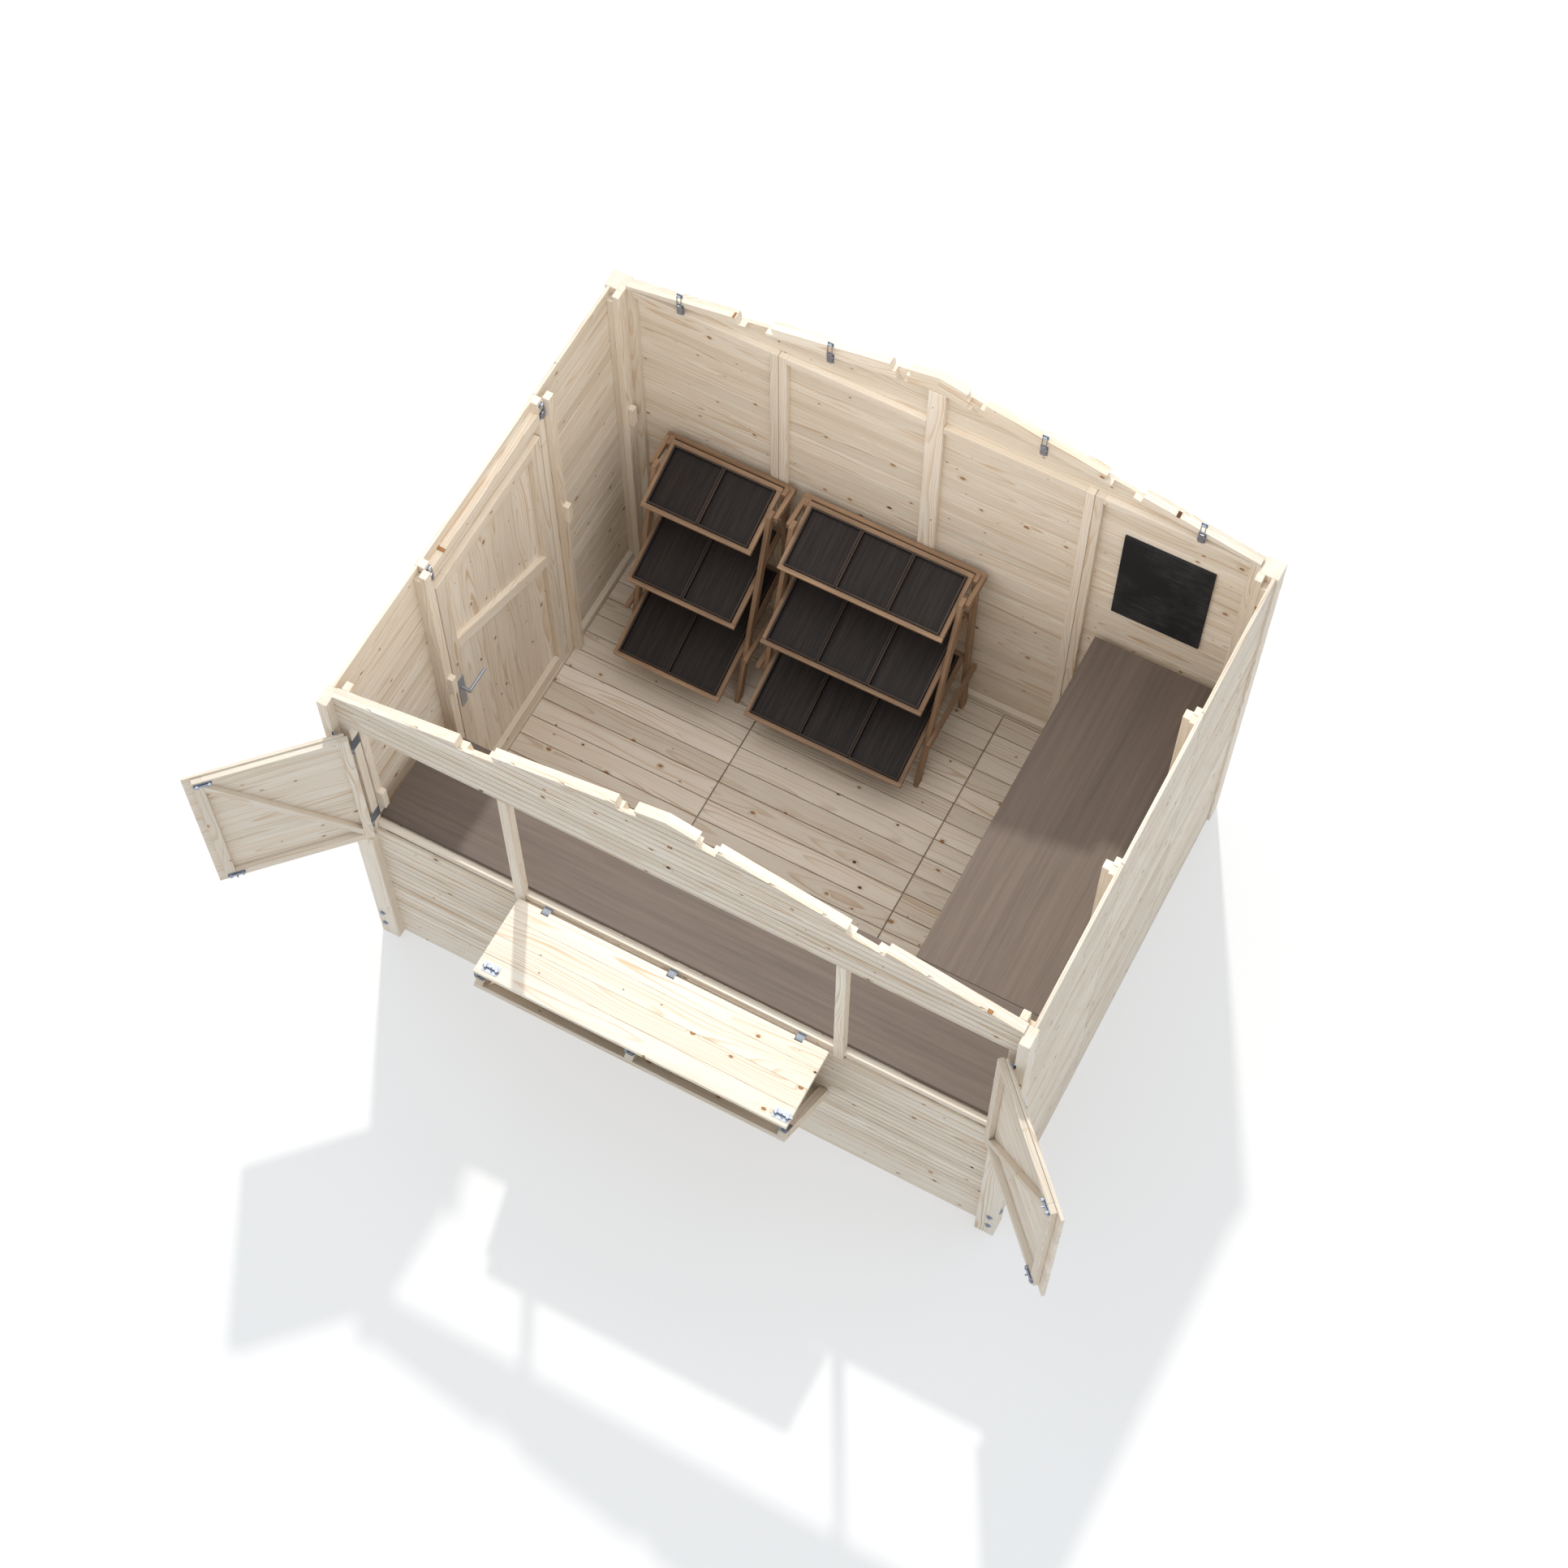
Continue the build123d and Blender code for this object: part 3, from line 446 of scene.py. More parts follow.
class Nodes:
    """A short way to write a node tree."""

    def __init__(self, name):
        self.material = bpy.data.materials.new(name)
        self.material.use_nodes = True
        self.tree = self.material.node_tree
        self.tree.nodes.clear()
        self.shader = self.node("BsdfPrincipled")
        self.node("OutputMaterial", [self.shader.outputs[0]])

    def feed(self, socket, value):
        """Link a socket to a node's output, or give it a fixed value or colour."""
        if isinstance(value, bpy.types.NodeSocket):
            self.tree.links.new(value, socket)
        else:
            socket.default_value = (*value, 1.0) if socket.type == "RGBA" else value

    def node(self, kind, fed=(), **fixed):
        """A new node; fed gives its sockets' values by place or by name."""
        made = self.tree.nodes.new("ShaderNode" + kind)
        for name, value in fixed.items():
            setattr(made, name, value)
        for key, value in fed.items() if isinstance(fed, dict) else enumerate(fed):
            self.feed(made.inputs[key], value)
        return made

    def math(self, kind, *values, clamp=False):
        return self.node("Math", values, operation=kind, use_clamp=clamp).outputs[0]

    def plus(self, a, b):
        return self.math("ADD", a, b)

    def times(self, a, b):
        return self.math("MULTIPLY", a, b)

    def off_middle(self, value, reach):
        """How far a value from 0 to 1 lies from its middle, times a reach."""
        return self.times(self.math("SUBTRACT", value, 0.5), reach)

    def attribute(self, name, output):
        return self.node("Attribute", attribute_name=name).outputs[output]

    def object_place(self):
        return self.node("TexCoord").outputs["Object"]

    def split(self, vector):
        return self.node("SeparateXYZ", [vector]).outputs

    def join(self, x, y, z):
        return self.node("CombineXYZ", [x, y, z]).outputs[0]

    def noise(self, vector, stretch=None, scale=1.0, detail=2.0, rough=0.5, output="Fac"):
        if stretch:
            vector = self.node("VectorMath", [vector, stretch], operation="MULTIPLY").outputs[0]
        fed = {"Vector": vector, "Scale": scale, "Detail": detail, "Roughness": rough}
        return self.node("TexNoise", fed).outputs[output]

    def ramp(self, value, stops, smooth=False):
        made = self.node("ValToRGB", [value])
        ramp = made.color_ramp
        ramp.interpolation = "EASE" if smooth else "LINEAR"
        while len(ramp.elements) < len(stops):
            ramp.elements.new(0.5)
        for element, (position, shade) in zip(ramp.elements, stops):
            element.position = position
            element.color = (*shade, 1.0)
        return made.outputs[0]

    def span(self, value, low, high, to_low=0.0, to_high=1.0):
        return self.node("MapRange", [value, low, high, to_low, to_high]).outputs[0]

    def mix(self, share, a, b, kind="MIX"):
        fed = {"Factor": share, 6: a, 7: b}
        return self.node("Mix", fed, data_type="RGBA", blend_type=kind).outputs[2]

    def bump(self, height, strength, distance):
        made = self.node("Bump", {"Height": height, "Strength": strength, "Distance": distance})
        self.feed(self.shader.inputs["Normal"], made.outputs[0])

    def finish(self, colour, rough, **fixed):
        self.feed(self.shader.inputs["Base Color"], colour)
        self.feed(self.shader.inputs["Roughness"], rough)
        for name, value in fixed.items():
            self.shader.inputs[name.replace("_", " ")].default_value = value
        return self.material


def tint(colour, factor):
    """A lighter or darker version of a colour."""
    return tuple(min(1.0, part * factor) for part in colour)


def wood(name, pale, ring, knot, tone_spread, knots, ring_step=0.0085, rough=0.6):
    """Sawn softwood: growth rings round the heart of the log, knots and a fine fibre."""
    n = Nodes(name)
    plus, times, off_middle = n.plus, n.times, n.off_middle
    log = n.attribute("log", "Vector")
    u, v, w = n.split(log)

    # the heart of the log wanders slowly along its length
    drift = n.noise(n.join(u, 0.0, 0.0), scale=1.1, detail=1.5, output="Color")
    drift_v, drift_w, _ = n.split(drift)
    side = plus(v, off_middle(drift_v, 0.11))
    deep = plus(w, off_middle(drift_w, 0.07))
    radius = n.math("SQRT", plus(times(side, side), times(deep, deep)))

    # knots: a few scattered round cells, most of them small, with the rings flowing about each
    flat = n.join(u, times(v, 1.5), 0.0)
    warp = n.noise(flat, scale=70.0, detail=1.0)
    cells = n.node("TexVoronoi", {"Vector": flat, "Scale": KNOT_CELLS}, voronoi_dimensions="2D")
    pick, size, dark = n.split(cells.outputs["Color"])
    distance = n.math("DIVIDE", cells.outputs["Distance"], KNOT_CELLS)
    distance = plus(distance, off_middle(warp, 0.003))
    knot_size = n.span(n.math("POWER", size, 2.2), 0.0, 1.0, 0.0030, 0.0125)
    knot_size = times(knot_size, n.math("GREATER_THAN", pick, 1.0 - 0.5 * knots))
    reach = n.math("MAXIMUM", times(knot_size, 3.4), 0.0001)
    near = n.math("SUBTRACT", 1.0, n.math("DIVIDE", distance, reach), clamp=True)
    near = times(near, near)
    radius = plus(radius, times(near, times(knot_size, 1.8)))

    # rings: dark late wood that grows slowly out of the pale early wood
    radius = plus(radius, times(n.noise(log, (3.0, 40.0, 40.0)), 0.0034))
    uneven = n.noise(n.join(times(radius, 90.0), 0.0, 0.0), detail=1.0)
    phase = n.math("FRACT", plus(n.math("DIVIDE", radius, ring_step), times(uneven, 1.6)))
    late = n.ramp(phase, [(0.0, (0, 0, 0)), (0.50, (0.12, 0.12, 0.12)), (0.86, (1, 1, 1)), (1.0, (0, 0, 0))], True)
    late = times(late, n.span(n.noise(log, (1.2, 20.0, 20.0)), 0.36, 0.66, 0.25, 1.0))
    colour = n.mix(times(late, 0.9), pale, ring)
    fibre = n.noise(log, (7.0, 300.0, 300.0), detail=3.0, rough=0.6)
    colour = n.mix(n.span(fibre, 0.25, 0.75, 0.0, 0.24), colour, tint(ring, 0.80))
    cloud = n.noise(log, (1.3, 9.0, 9.0))
    colour = n.mix(n.span(cloud, 0.3, 0.75, 0.0, 0.20), colour, tint(ring, 1.05))

    # each board has its own tone
    duller = n.mix(1.0, colour, tint((1.0, 0.985, 0.955), 1.0 - tone_spread), "MULTIPLY")
    colour = n.mix(n.attribute("tone", "Fac"), colour, duller)

    # a halo round each knot, then the knot itself
    colour = n.mix(times(near, 0.85), colour, tint(ring, 0.85))
    inside = n.math("DIVIDE", distance, n.math("MAXIMUM", knot_size, 0.0001))
    core = n.ramp(inside, [
        (0.0, tint(knot, 0.80)), (0.5, tint(knot, 1.5)), (0.84, tint(knot, 0.40)), (1.0, tint(knot, 0.55)),
    ])
    core = n.mix(n.math("GREATER_THAN", dark, 0.68), core, tint(knot, 0.25))
    within = times(n.math("LESS_THAN", inside, 1.0), n.math("GREATER_THAN", knot_size, 0.0001))
    colour = n.mix(within, colour, core)
    n.bump(plus(times(late, 0.6), times(fibre, 0.8)), 0.25, 0.0004)
    return n.finish(colour, n.span(fibre, 0.2, 0.8, rough - 0.06, rough + 0.08), Specular_IOR_Level=0.3)


def stained_wood(name, base, dark, rough):
    """Oiled or stained wood with a streaky grain."""
    n = Nodes(name)
    log = n.attribute("log", "Vector")
    streak = n.noise(log, (5.0, 110.0, 110.0), detail=3.0, rough=0.6)
    broad = n.noise(log, (1.8, 26.0, 26.0))
    colour = n.mix(n.span(streak, 0.3, 0.75), base, dark)
    colour = n.mix(n.span(broad, 0.3, 0.7, 0.0, 0.5), colour, tint(dark, 0.8))
    colour = n.mix(n.attribute("tone", "Fac"), colour, n.mix(1.0, colour, (0.78, 0.76, 0.74), "MULTIPLY"))
    n.bump(streak, 0.35, 0.0006)
    return n.finish(colour, n.span(streak, 0.2, 0.8, rough - 0.08, rough + 0.1), Specular_IOR_Level=0.22)


def metal(name, colour, rough):
    """Zinc plate: slightly mottled and dull."""
    n = Nodes(name)
    place = n.object_place()
    mottle = n.noise(place, scale=160.0, detail=3.0, rough=0.6)
    cloud = n.noise(place, scale=35.0)
    shade = n.mix(n.span(mottle, 0.3, 0.7, 0.0, 0.35), colour, tint(colour, 0.72))
    shade = n.mix(n.span(cloud, 0.35, 0.7, 0.0, 0.25), shade, tint(colour, 1.25))
    n.bump(mottle, 0.15, 0.0003)
    return n.finish(shade, n.span(mottle, 0.2, 0.8, rough - 0.08, rough + 0.10), Metallic=0.9)


def board_face(name, colour):
    """The chalkboard's bare face: matt black with a faint dusty bloom of wiped chalk."""
    n = Nodes(name)
    place = n.object_place()
    cloud = n.noise(place, (1.0, 1.0, 0.6), 6.0, 4.0, 0.62)
    wipe = n.noise(place, (3.0, 1.0, 26.0), 3.0, 3.0, 0.6)
    dust = n.times(n.span(cloud, 0.42, 0.8), n.span(wipe, 0.3, 0.8))
    shade = n.mix(n.times(dust, 0.30), colour, (0.30, 0.31, 0.32))
    n.bump(wipe, 0.1, 0.0003)
    return n.finish(shade, n.span(cloud, 0.2, 0.8, 0.60, 0.80), Specular_IOR_Level=0.12)


def laminate(name, base, dark):
    """The worktop's grey-brown board with long soft streaks."""
    n = Nodes(name)
    log = n.attribute("log", "Vector")
    streak = n.noise(log, (1.4, 46.0, 46.0), detail=4.0, rough=0.62)
    fine = n.noise(log, (6.0, 300.0, 300.0))
    broad = n.noise(log, (0.7, 7.0, 7.0))
    colour = n.mix(n.span(streak, 0.28, 0.72), base, dark)
    colour = n.mix(n.span(fine, 0.3, 0.75, 0.0, 0.35), colour, tint(dark, 0.75))
    colour = n.mix(n.span(broad, 0.3, 0.7, 0.0, 0.35), colour, tint(base, 1.12))
    n.bump(streak, 0.12, 0.0003)
    return n.finish(colour, n.span(fine, 0.2, 0.8, 0.50, 0.62), Specular_IOR_Level=0.25)


# Sizes and finishes that a user may change

SIZES = {
    "cladding": (0.016, "Thickness of the wall boards"),
    "board_pitch": (0.0907, "Height that each wall board covers"),
    "first_joint": (0.0913, "Height of the lowest joint between wall boards"),
    "board_gap": (0.0008, "Fine gap between neighbouring wall boards"),
    "groove_width": (0.0056, "Open width of the groove at each joint"),
    "groove_depth": (0.0095, "Depth of the groove at each joint"),
    "board_bevel": (0.0028, "Size of the bevel on each side of a groove"),
    "cove_width": (0.0085, "Width of the groove along the middle of a board"),
    "cove_depth": (0.0065, "Depth of the groove along the middle of a board"),
    "stile_down": (0.043, "How far the side walls' stiles end below the boards"),
    "batten_width": (0.038, "Width of the frame battens"),
    "floor_top": (0.070, "Top of the floor boards"),
    "floor_pitch": (0.1004, "Width that each floor board covers"),
    "floor_start": (0.004, "Shift of the floor's joints towards the back"),
    "floor_gap": (0.0038, "Open joint between floor boards"),
    "jamb": (0.040, "Width of the door posts"),
    "lintel": (0.075, "Height of the bar over the door"),
    "lintel_up": (0.070, "Height of that bar over the door's head"),
    "threshold": (0.022, "Height of the threshold over the floor"),
    "door_rail": (0.070, "Width of the door's stiles and rails"),
    "door_brace": (0.075, "Upright width of the door's brace"),
    "door_brace_ends": ((0.960, 1.290), "Heights of the brace's lower and upper end"),
    "door_boards": (9, "How many boards make up the door"),
    "ledge": (1.0, "Height of the front boards under the sill"),
    "roof_slope": (math.radians(12), "Slope of the gables"),
    "gable_plank": (0.096, "Width of the sloping planks"),
    "gable_beam_top": (1.992, "Height of the top of the front gable's beam"),
    "shutter_cladding": (0.014, "Thickness of the shutters' boards"),
    "shutter_rail": (0.040, "Width of the shutters' stiles and rails"),
    "shutter_stile_inset": (0.034, "Distance of the free stile from the edge"),
    "shutter_foot": (0.050, "Height of the lower rail over the boards' end"),
    "shutter_head": (0.008, "Drop of the upper rail below the boards' end"),
    "shutter_brace": (0.048, "Upright width of the slanting brace"),
    "support_cladding": (0.018, "Thickness of the bracing leaf's boards"),
    "counter_boards": (4, "How many boards make up the counter"),
    "rack_bar": (0.022, "Thickness of the racks' bars"),
    "rack_leg": (0.044, "Depth of the racks' legs"),
    "rack_lean": (0.322, "How far the front legs lean back"),
    "rack_rail": (0.036, "Height of the rack's rail and upper arms"),
    "rack_rail_down": (0.046, "Lower edge of the rail below the legs' tops"),
    "rack_rail_out": (0.185, "Reach of the upper arms from the wall"),
    "rack_arm": (0.024, "Height of the lower arms"),
    "rack_arm_height": (0.380, "Height of the lower arms above the ground"),
    "rack_arm_out": (0.473, "Reach of the lower arms from the wall"),
    "rack_slope": (math.radians(20), "Slope of the tiers"),
    "rack_tier_back": (0.040, "Distance of the tiers' back edge from the wall"),
    "rack_tier_out": ((0.345, 0.505, 0.665), "Reach of each tier from the wall, from the top one down"),
    "rack_tier_height": ((1.078, 0.690, 0.285), "Height of each tier's front edge, from the top one down"),
    "rack_slat": (0.008, "Thickness of the slats under the trays"),
    "rack_slat_step": (0.093, "Distance between slats"),
    "tray_width": (0.262, "About how wide each tray is"),
    "tray_run": (0.001, "Space on each side of a tray"),
    "tray_height": (0.030, "Height of the trays"),
    "tray_wall": (0.008, "Thickness of the trays' walls"),
    "tray_floor": (0.006, "Thickness of the trays' floors"),
    # The trays' rim is a lighter brown band along the top of each wall; this is how far down it reaches
    "tray_rim": (0.002, "Depth of the worn rim along the trays' walls"),
    "plate_thickness": (0.002, "Thickness of the zinc plates"),
    "counter_bolt": ((0.072, 0.044), "Length and width of the counter bolts' plates"),
    "shutter_bolt": ((0.070, 0.026), "Length and width of the shutter bolts' plates"),
    "bolt_rod": (0.009, "Thickness of the barrel bolts' rods"),
    "latch_width": (0.034, "Width of the toggle latches"),
    "latch_length": (0.135, "Length of the toggle latches"),
    "stay_post": ((0.050, 0.0, 1.870), "Where the stay rod's eye sits on the post"),
    "stay_shutter": ((-0.050, -0.106, 1.835), "Where the stay rod meets the shutter"),
    "foot_bolt_in": (0.029, "Distance of the foot bolts from the post's outer edge"),
    "foot_bolt_z": ((0.205, 0.105), "Heights of the bolts at the posts' feet"),
    "gable_latch_x": ((0.345, 1.030, 1.970, 2.660), "Where the latches sit along the back gable"),
    "gable_latch_z": ((2.150, 2.270, 2.275, 2.155), "Heights of those latches"),
    "wall_latch_y": ((0.720, 1.585), "Where the latches sit along the left wall"),
    "wall_latch_z": (2.020, "Height of those latches"),
    "joining_post": (0.032, "Thickness of the posts that join the panels"),
    "window_post": (0.042, "Width of the posts between the windows"),
    "key_y": ((0.115, 0.673, 1.622, 2.183), "Where the wooden keys sit along the left wall"),
    "key_z": ((1.240, 1.300, 1.300, 1.300), "Top ends of the wooden keys"),
}

COLOURS = {
    "spruce": ((0.94, 0.885, 0.795), "Early wood of the planed spruce"),
    "spruce_ring": ((0.66, 0.465, 0.285), "Late wood lines of the spruce"),
    "knot": ((0.36, 0.165, 0.060), "Heart of a knot"),
    "floor": ((0.88, 0.81, 0.72), "Early wood of the floor boards"),
    "floor_ring": ((0.58, 0.405, 0.265), "Late wood of the floor boards"),
    "rack": ((0.44, 0.285, 0.175), "Oiled wood of the racks"),
    "rack_dark": ((0.24, 0.145, 0.090), "Dark grain of the racks"),
    "tray": ((0.034, 0.023, 0.020), "Stained wood of the trays"),
    "tray_dark": ((0.012, 0.009, 0.009), "Dark grain of the trays"),
    # Colour of the lighter brown band along the tops of the trays' walls
    "tray_rim": ((0.072, 0.051, 0.042), "Worn rim of the trays"),
    "worktop": ((0.166, 0.127, 0.104), "Grey-brown of the worktop"),
    "worktop_dark": ((0.110, 0.083, 0.068), "Dark streaks of the worktop"),
    "zinc": ((0.42, 0.455, 0.53), "Zinc plate of the fittings"),
    "chalkboard": ((0.018, 0.018, 0.020), "Matt face of the chalkboard"),
}


def size_property(name, default, description):
    """A count, an angle, a length or a row of lengths, told by its name and default."""
    given = {"name": name.replace("_", " ").capitalize(), "description": description, "default": default}
    if isinstance(default, int):
        return bpy.props.IntProperty(min=1, max=16, **given)
    if isinstance(default, tuple):
        return bpy.props.FloatVectorProperty(size=len(default), precision=4, unit="LENGTH", **given)
    if name.endswith("_slope"):
        return bpy.props.FloatProperty(subtype="ANGLE", **given)
    return bpy.props.FloatProperty(min=0.0, precision=4, unit="LENGTH", **given)


def colour_property(name, default, description):
    return bpy.props.FloatVectorProperty(
        name=name.replace("_", " ").capitalize(), description=description, default=default, size=3, min=0.0,
        max=1.0, subtype="COLOR",
    )


class StallSizes(bpy.types.PropertyGroup):
    """Timber sizes that the boards and bars are built from."""
    __annotations__ = {name: size_property(name, *row) for name, row in SIZES.items()}


class StallFinishes(bpy.types.PropertyGroup):
    """Colours of the timber, boards and fittings."""
    __annotations__ = {name: colour_property(name, *row) for name, row in COLOURS.items()}


# Operators, one for each piece or group of like pieces


class STALL_OT_materials(bpy.types.Operator):
    """Make the finishes"""
    bl_idname = "stall.materials"
    bl_label = "Make finishes"

    def execute(self, context):
        looks = bpy.context.scene.stall_finishes
        shade = {name: tuple(getattr(looks, name)) for name in COLOURS}
        spruce, ring, knot = shade["spruce"], shade["spruce_ring"], shade["knot"]
        rim, zinc = shade["tray_rim"], shade["zinc"]
        MATERIALS.update({
            "cladding": wood("spruce_boards", spruce, ring, knot, 0.13, 0.95),
            "battens": wood("spruce_battens", tint(spruce, 0.97), ring, knot, 0.12, 0.5, 0.0052),
            "posts": wood("spruce_posts", spruce, ring, knot, 0.10, 0.5, 0.0060),
            "counter": wood("counter_boards", tint(spruce, 1.04), ring, knot, 0.07, 0.6, 0.0090),
            "floor": wood("floor_boards_finish", shade["floor"], shade["floor_ring"], knot, 0.18, 0.8, rough=0.66),
            "rack": stained_wood("oiled_rack_wood", shade["rack"], shade["rack_dark"], 0.5),
            "tray": stained_wood("stained_tray_wood", shade["tray"], shade["tray_dark"], 0.55),
            "tray_rim": stained_wood("tray_rim_band", rim, tint(rim, 0.55), 0.6),
            "worktop": laminate("worktop_finish", shade["worktop"], shade["worktop_dark"]),
            "zinc": metal("zinc_plate", zinc, 0.46),
            "dull_zinc": metal("dull_zinc_plate", tint(zinc, 0.60), 0.60),
            "chalkboard": board_face("chalkboard_finish", shade["chalkboard"]),
        })
        return {"FINISHED"}


class STALL_OT_floor(bpy.types.Operator):
    """Lay the floor boards on their bearers"""
    bl_idname = "stall.floor"
    bl_label = "Floor"

    def execute(self, context):
        sizes = settings()
        timber = Timber("floor_boards", 11)
        post_low, post_high = node_box("corner_post_back_left")
        gap = sizes.floor_gap / 2
        panels = ("floor_panel_left", "floor_panel_middle", "floor_panel_right")
        for node in panels:
            low, high = node_box(node)
            edge = sizes.floor_pitch * math.ceil((low.y + 0.02) / sizes.floor_pitch) + sizes.floor_start
            edges = [low.y]
            while edge < high.y - LEAST_STRIP:
                edges.append(edge)
                edge += sizes.floor_pitch
            edges.append(high.y)
            for y0, y1 in zip(edges, edges[1:]):
                x0, x1 = low.x, high.x
                if y1 > post_low.y:
                    x0, x1 = max(x0, post_high.x), min(x1, WIDTH - post_high.x)
                timber.bar((x0 + gap, y0 + gap, low.z), (x1 - gap, y1 - gap, high.z), 0, 0.0022)
        timber.build("floor", *panels, slot="floor_boards")
        bearers = Timber("floor_bearer_bars", 12)
        bearers.node_bars("floor_bearers")
        bearers.build("battens", "floor_bearers", slot="floor_boards")
        return {"FINISHED"}


class STALL_OT_posts(bpy.types.Operator):
    """Set up the corner posts, the window posts and the posts that join the panels"""
    bl_idname = "stall.posts"
    bl_label = "Posts"

    def execute(self, context):
        for seed, node in enumerate((
            "corner_post_front_left", "corner_post_front_right", "corner_post_back_left",
            "corner_post_back_right", "window_posts", "wall_joining_posts", "back_centre_batten", "front_sill",
        ), 21):
            timber = Timber(node + "_timber", seed)
            timber.node_bars(node, 0.0025 if node.startswith("corner") else 0.0018)
            timber.build("posts", node)
        return {"FINISHED"}


class STALL_OT_walls(bpy.types.Operator):
    """Build the framed and boarded wall panels"""
    bl_idname = "stall.walls"
    bl_label = "Walls"

    def execute(self, context):
        both = (True, True)
        back = (("left", both), ("left_middle", (True, False)), ("right_middle", (False, True)), ("right", both))
        for seed, (part, stiles) in enumerate(back, 31):
            wall_panel("back_wall_" + part + "_panel", BACK_OUT, seed, stiles)
        for seed, part in enumerate(("front", "middle", "rear"), 35):
            wall_panel("right_wall_" + part + "_panel", RIGHT_OUT, seed, top_rail=False)
        for seed, part in enumerate(("front", "rear"), 38):
            wall_panel("left_wall_" + part + "_panel", LEFT_OUT, seed, top_rail=False)
        self.over_door()
        self.apron()
        return {"FINISHED"}

    def over_door(self):
        """The boards over the door carry no frame of their own."""
        low, high = node_box("left_wall_over_door")
        timber = Timber("over_door_boards", 41)
        timber.cladding((high.x, low.y), high.y - low.y, Y_AXIS, LEFT_OUT, low.z, high.z)
        timber.build("cladding", "left_wall_over_door")

    def apron(self):
        """Boards and studs under the serving front."""
        sizes = settings()
        low, high = node_box("front_apron_panel")
        timber = Timber("front_apron_boards", 42)
        seam = low.y + sizes.cladding
        plinth = 2 * sizes.first_joint
        timber.cladding((low.x, seam), high.x - low.x, X_AXIS, FRONT_OUT, low.z, sizes.ledge,
                        first_joint=plinth, plain_below=plinth)
        batten = sizes.batten_width
        timber.bar((low.x, seam, low.z), (high.x, high.y, low.z + batten), 0, slot=FRAME)
        window_low, window_high = node_box("window_posts")
        sill_foot = node_box("front_sill")[0].z
        middle = WIDTH / 2 - batten / 2
        for x in (low.x, window_low.x, middle, window_high.x - batten, high.x - batten):
            timber.bar((x, seam, low.z + batten), (x + batten, high.y, sill_foot), 2, slot=FRAME)
        timber.build("cladding battens", "front_apron_panel")


def within_box(solid, low, high):
    """The part of a solid within a box."""
    return trimmed(solid, plain_box(low, high))


class STALL_OT_gables(bpy.types.Operator):
    """Build the two gables, cut out for the purlins"""
    bl_idname = "stall.gables"
    bl_label = "Gables"

    def execute(self, context):
        self.boards("front_gable", FRONT_OUT, 51)
        self.boards("back_gable", BACK_OUT, 52)
        self.planks("front_gable", 53, True)
        self.planks("back_gable", 54, False)
        return {"FINISHED"}

    def boards(self, gable, out, seed):
        """Level boards, longer than the gable and trimmed to it."""
        node = gable + "_cladding"
        low, high = node_box(node)
        timber = Timber(gable + "_boards", seed)
        start = (low.x - SPARE, high.y if out.y < 0 else low.y)
        length = high.x - low.x + 2 * SPARE
        for solid in node_solids(node):
            timber.cladding(start, length, X_AXIS, out, low.z, high.z + SPARE / 2, solid)
        timber.build("cladding", node)

    def planks(self, gable, seed, beam):
        """Two sloping planks, drawn longer and deeper than the CAD's and trimmed to them."""
        node = gable + "_planks"
        low, high = node_box(node)
        timber = Timber(gable + "_plank_pair", seed)
        sizes = settings()
        middle = WIDTH / 2
        past_ridge, past_eaves = 0.1, 1.8
        drop = sizes.gable_plank * math.cos(sizes.roof_slope)
        solids = node_solids(node)
        for side in (-1, 1):
            turn = Matrix.Translation((middle, 0, high.z)) @ Matrix.Rotation(side * sizes.roof_slope, 4, "Y")
            x0, x1 = sorted((-side * past_ridge, side * past_eaves))
            near, far = sorted((middle, middle + side * 2 * past_eaves))
            for solid in solids:
                first, last = span_of(solid[0])
                half = within_box(
                    solid, (near, first.y - SPARE, first.z - SPARE), (far, last.y + SPARE, last.z + SPARE)
                )
                if half[0]:
                    timber.bar((x0, low.y, -drop), (x1, high.y, SPARE), 0, 0.0004, tool=half, turn=turn)
        for solid in solids if beam else ():
            first, last = (low.x - SPARE, low.y, low.z), (high.x + SPARE, high.y, sizes.gable_beam_top)
            timber.bar(first, last, 0, 0.0012, tool=solid)
        timber.build("posts", node)


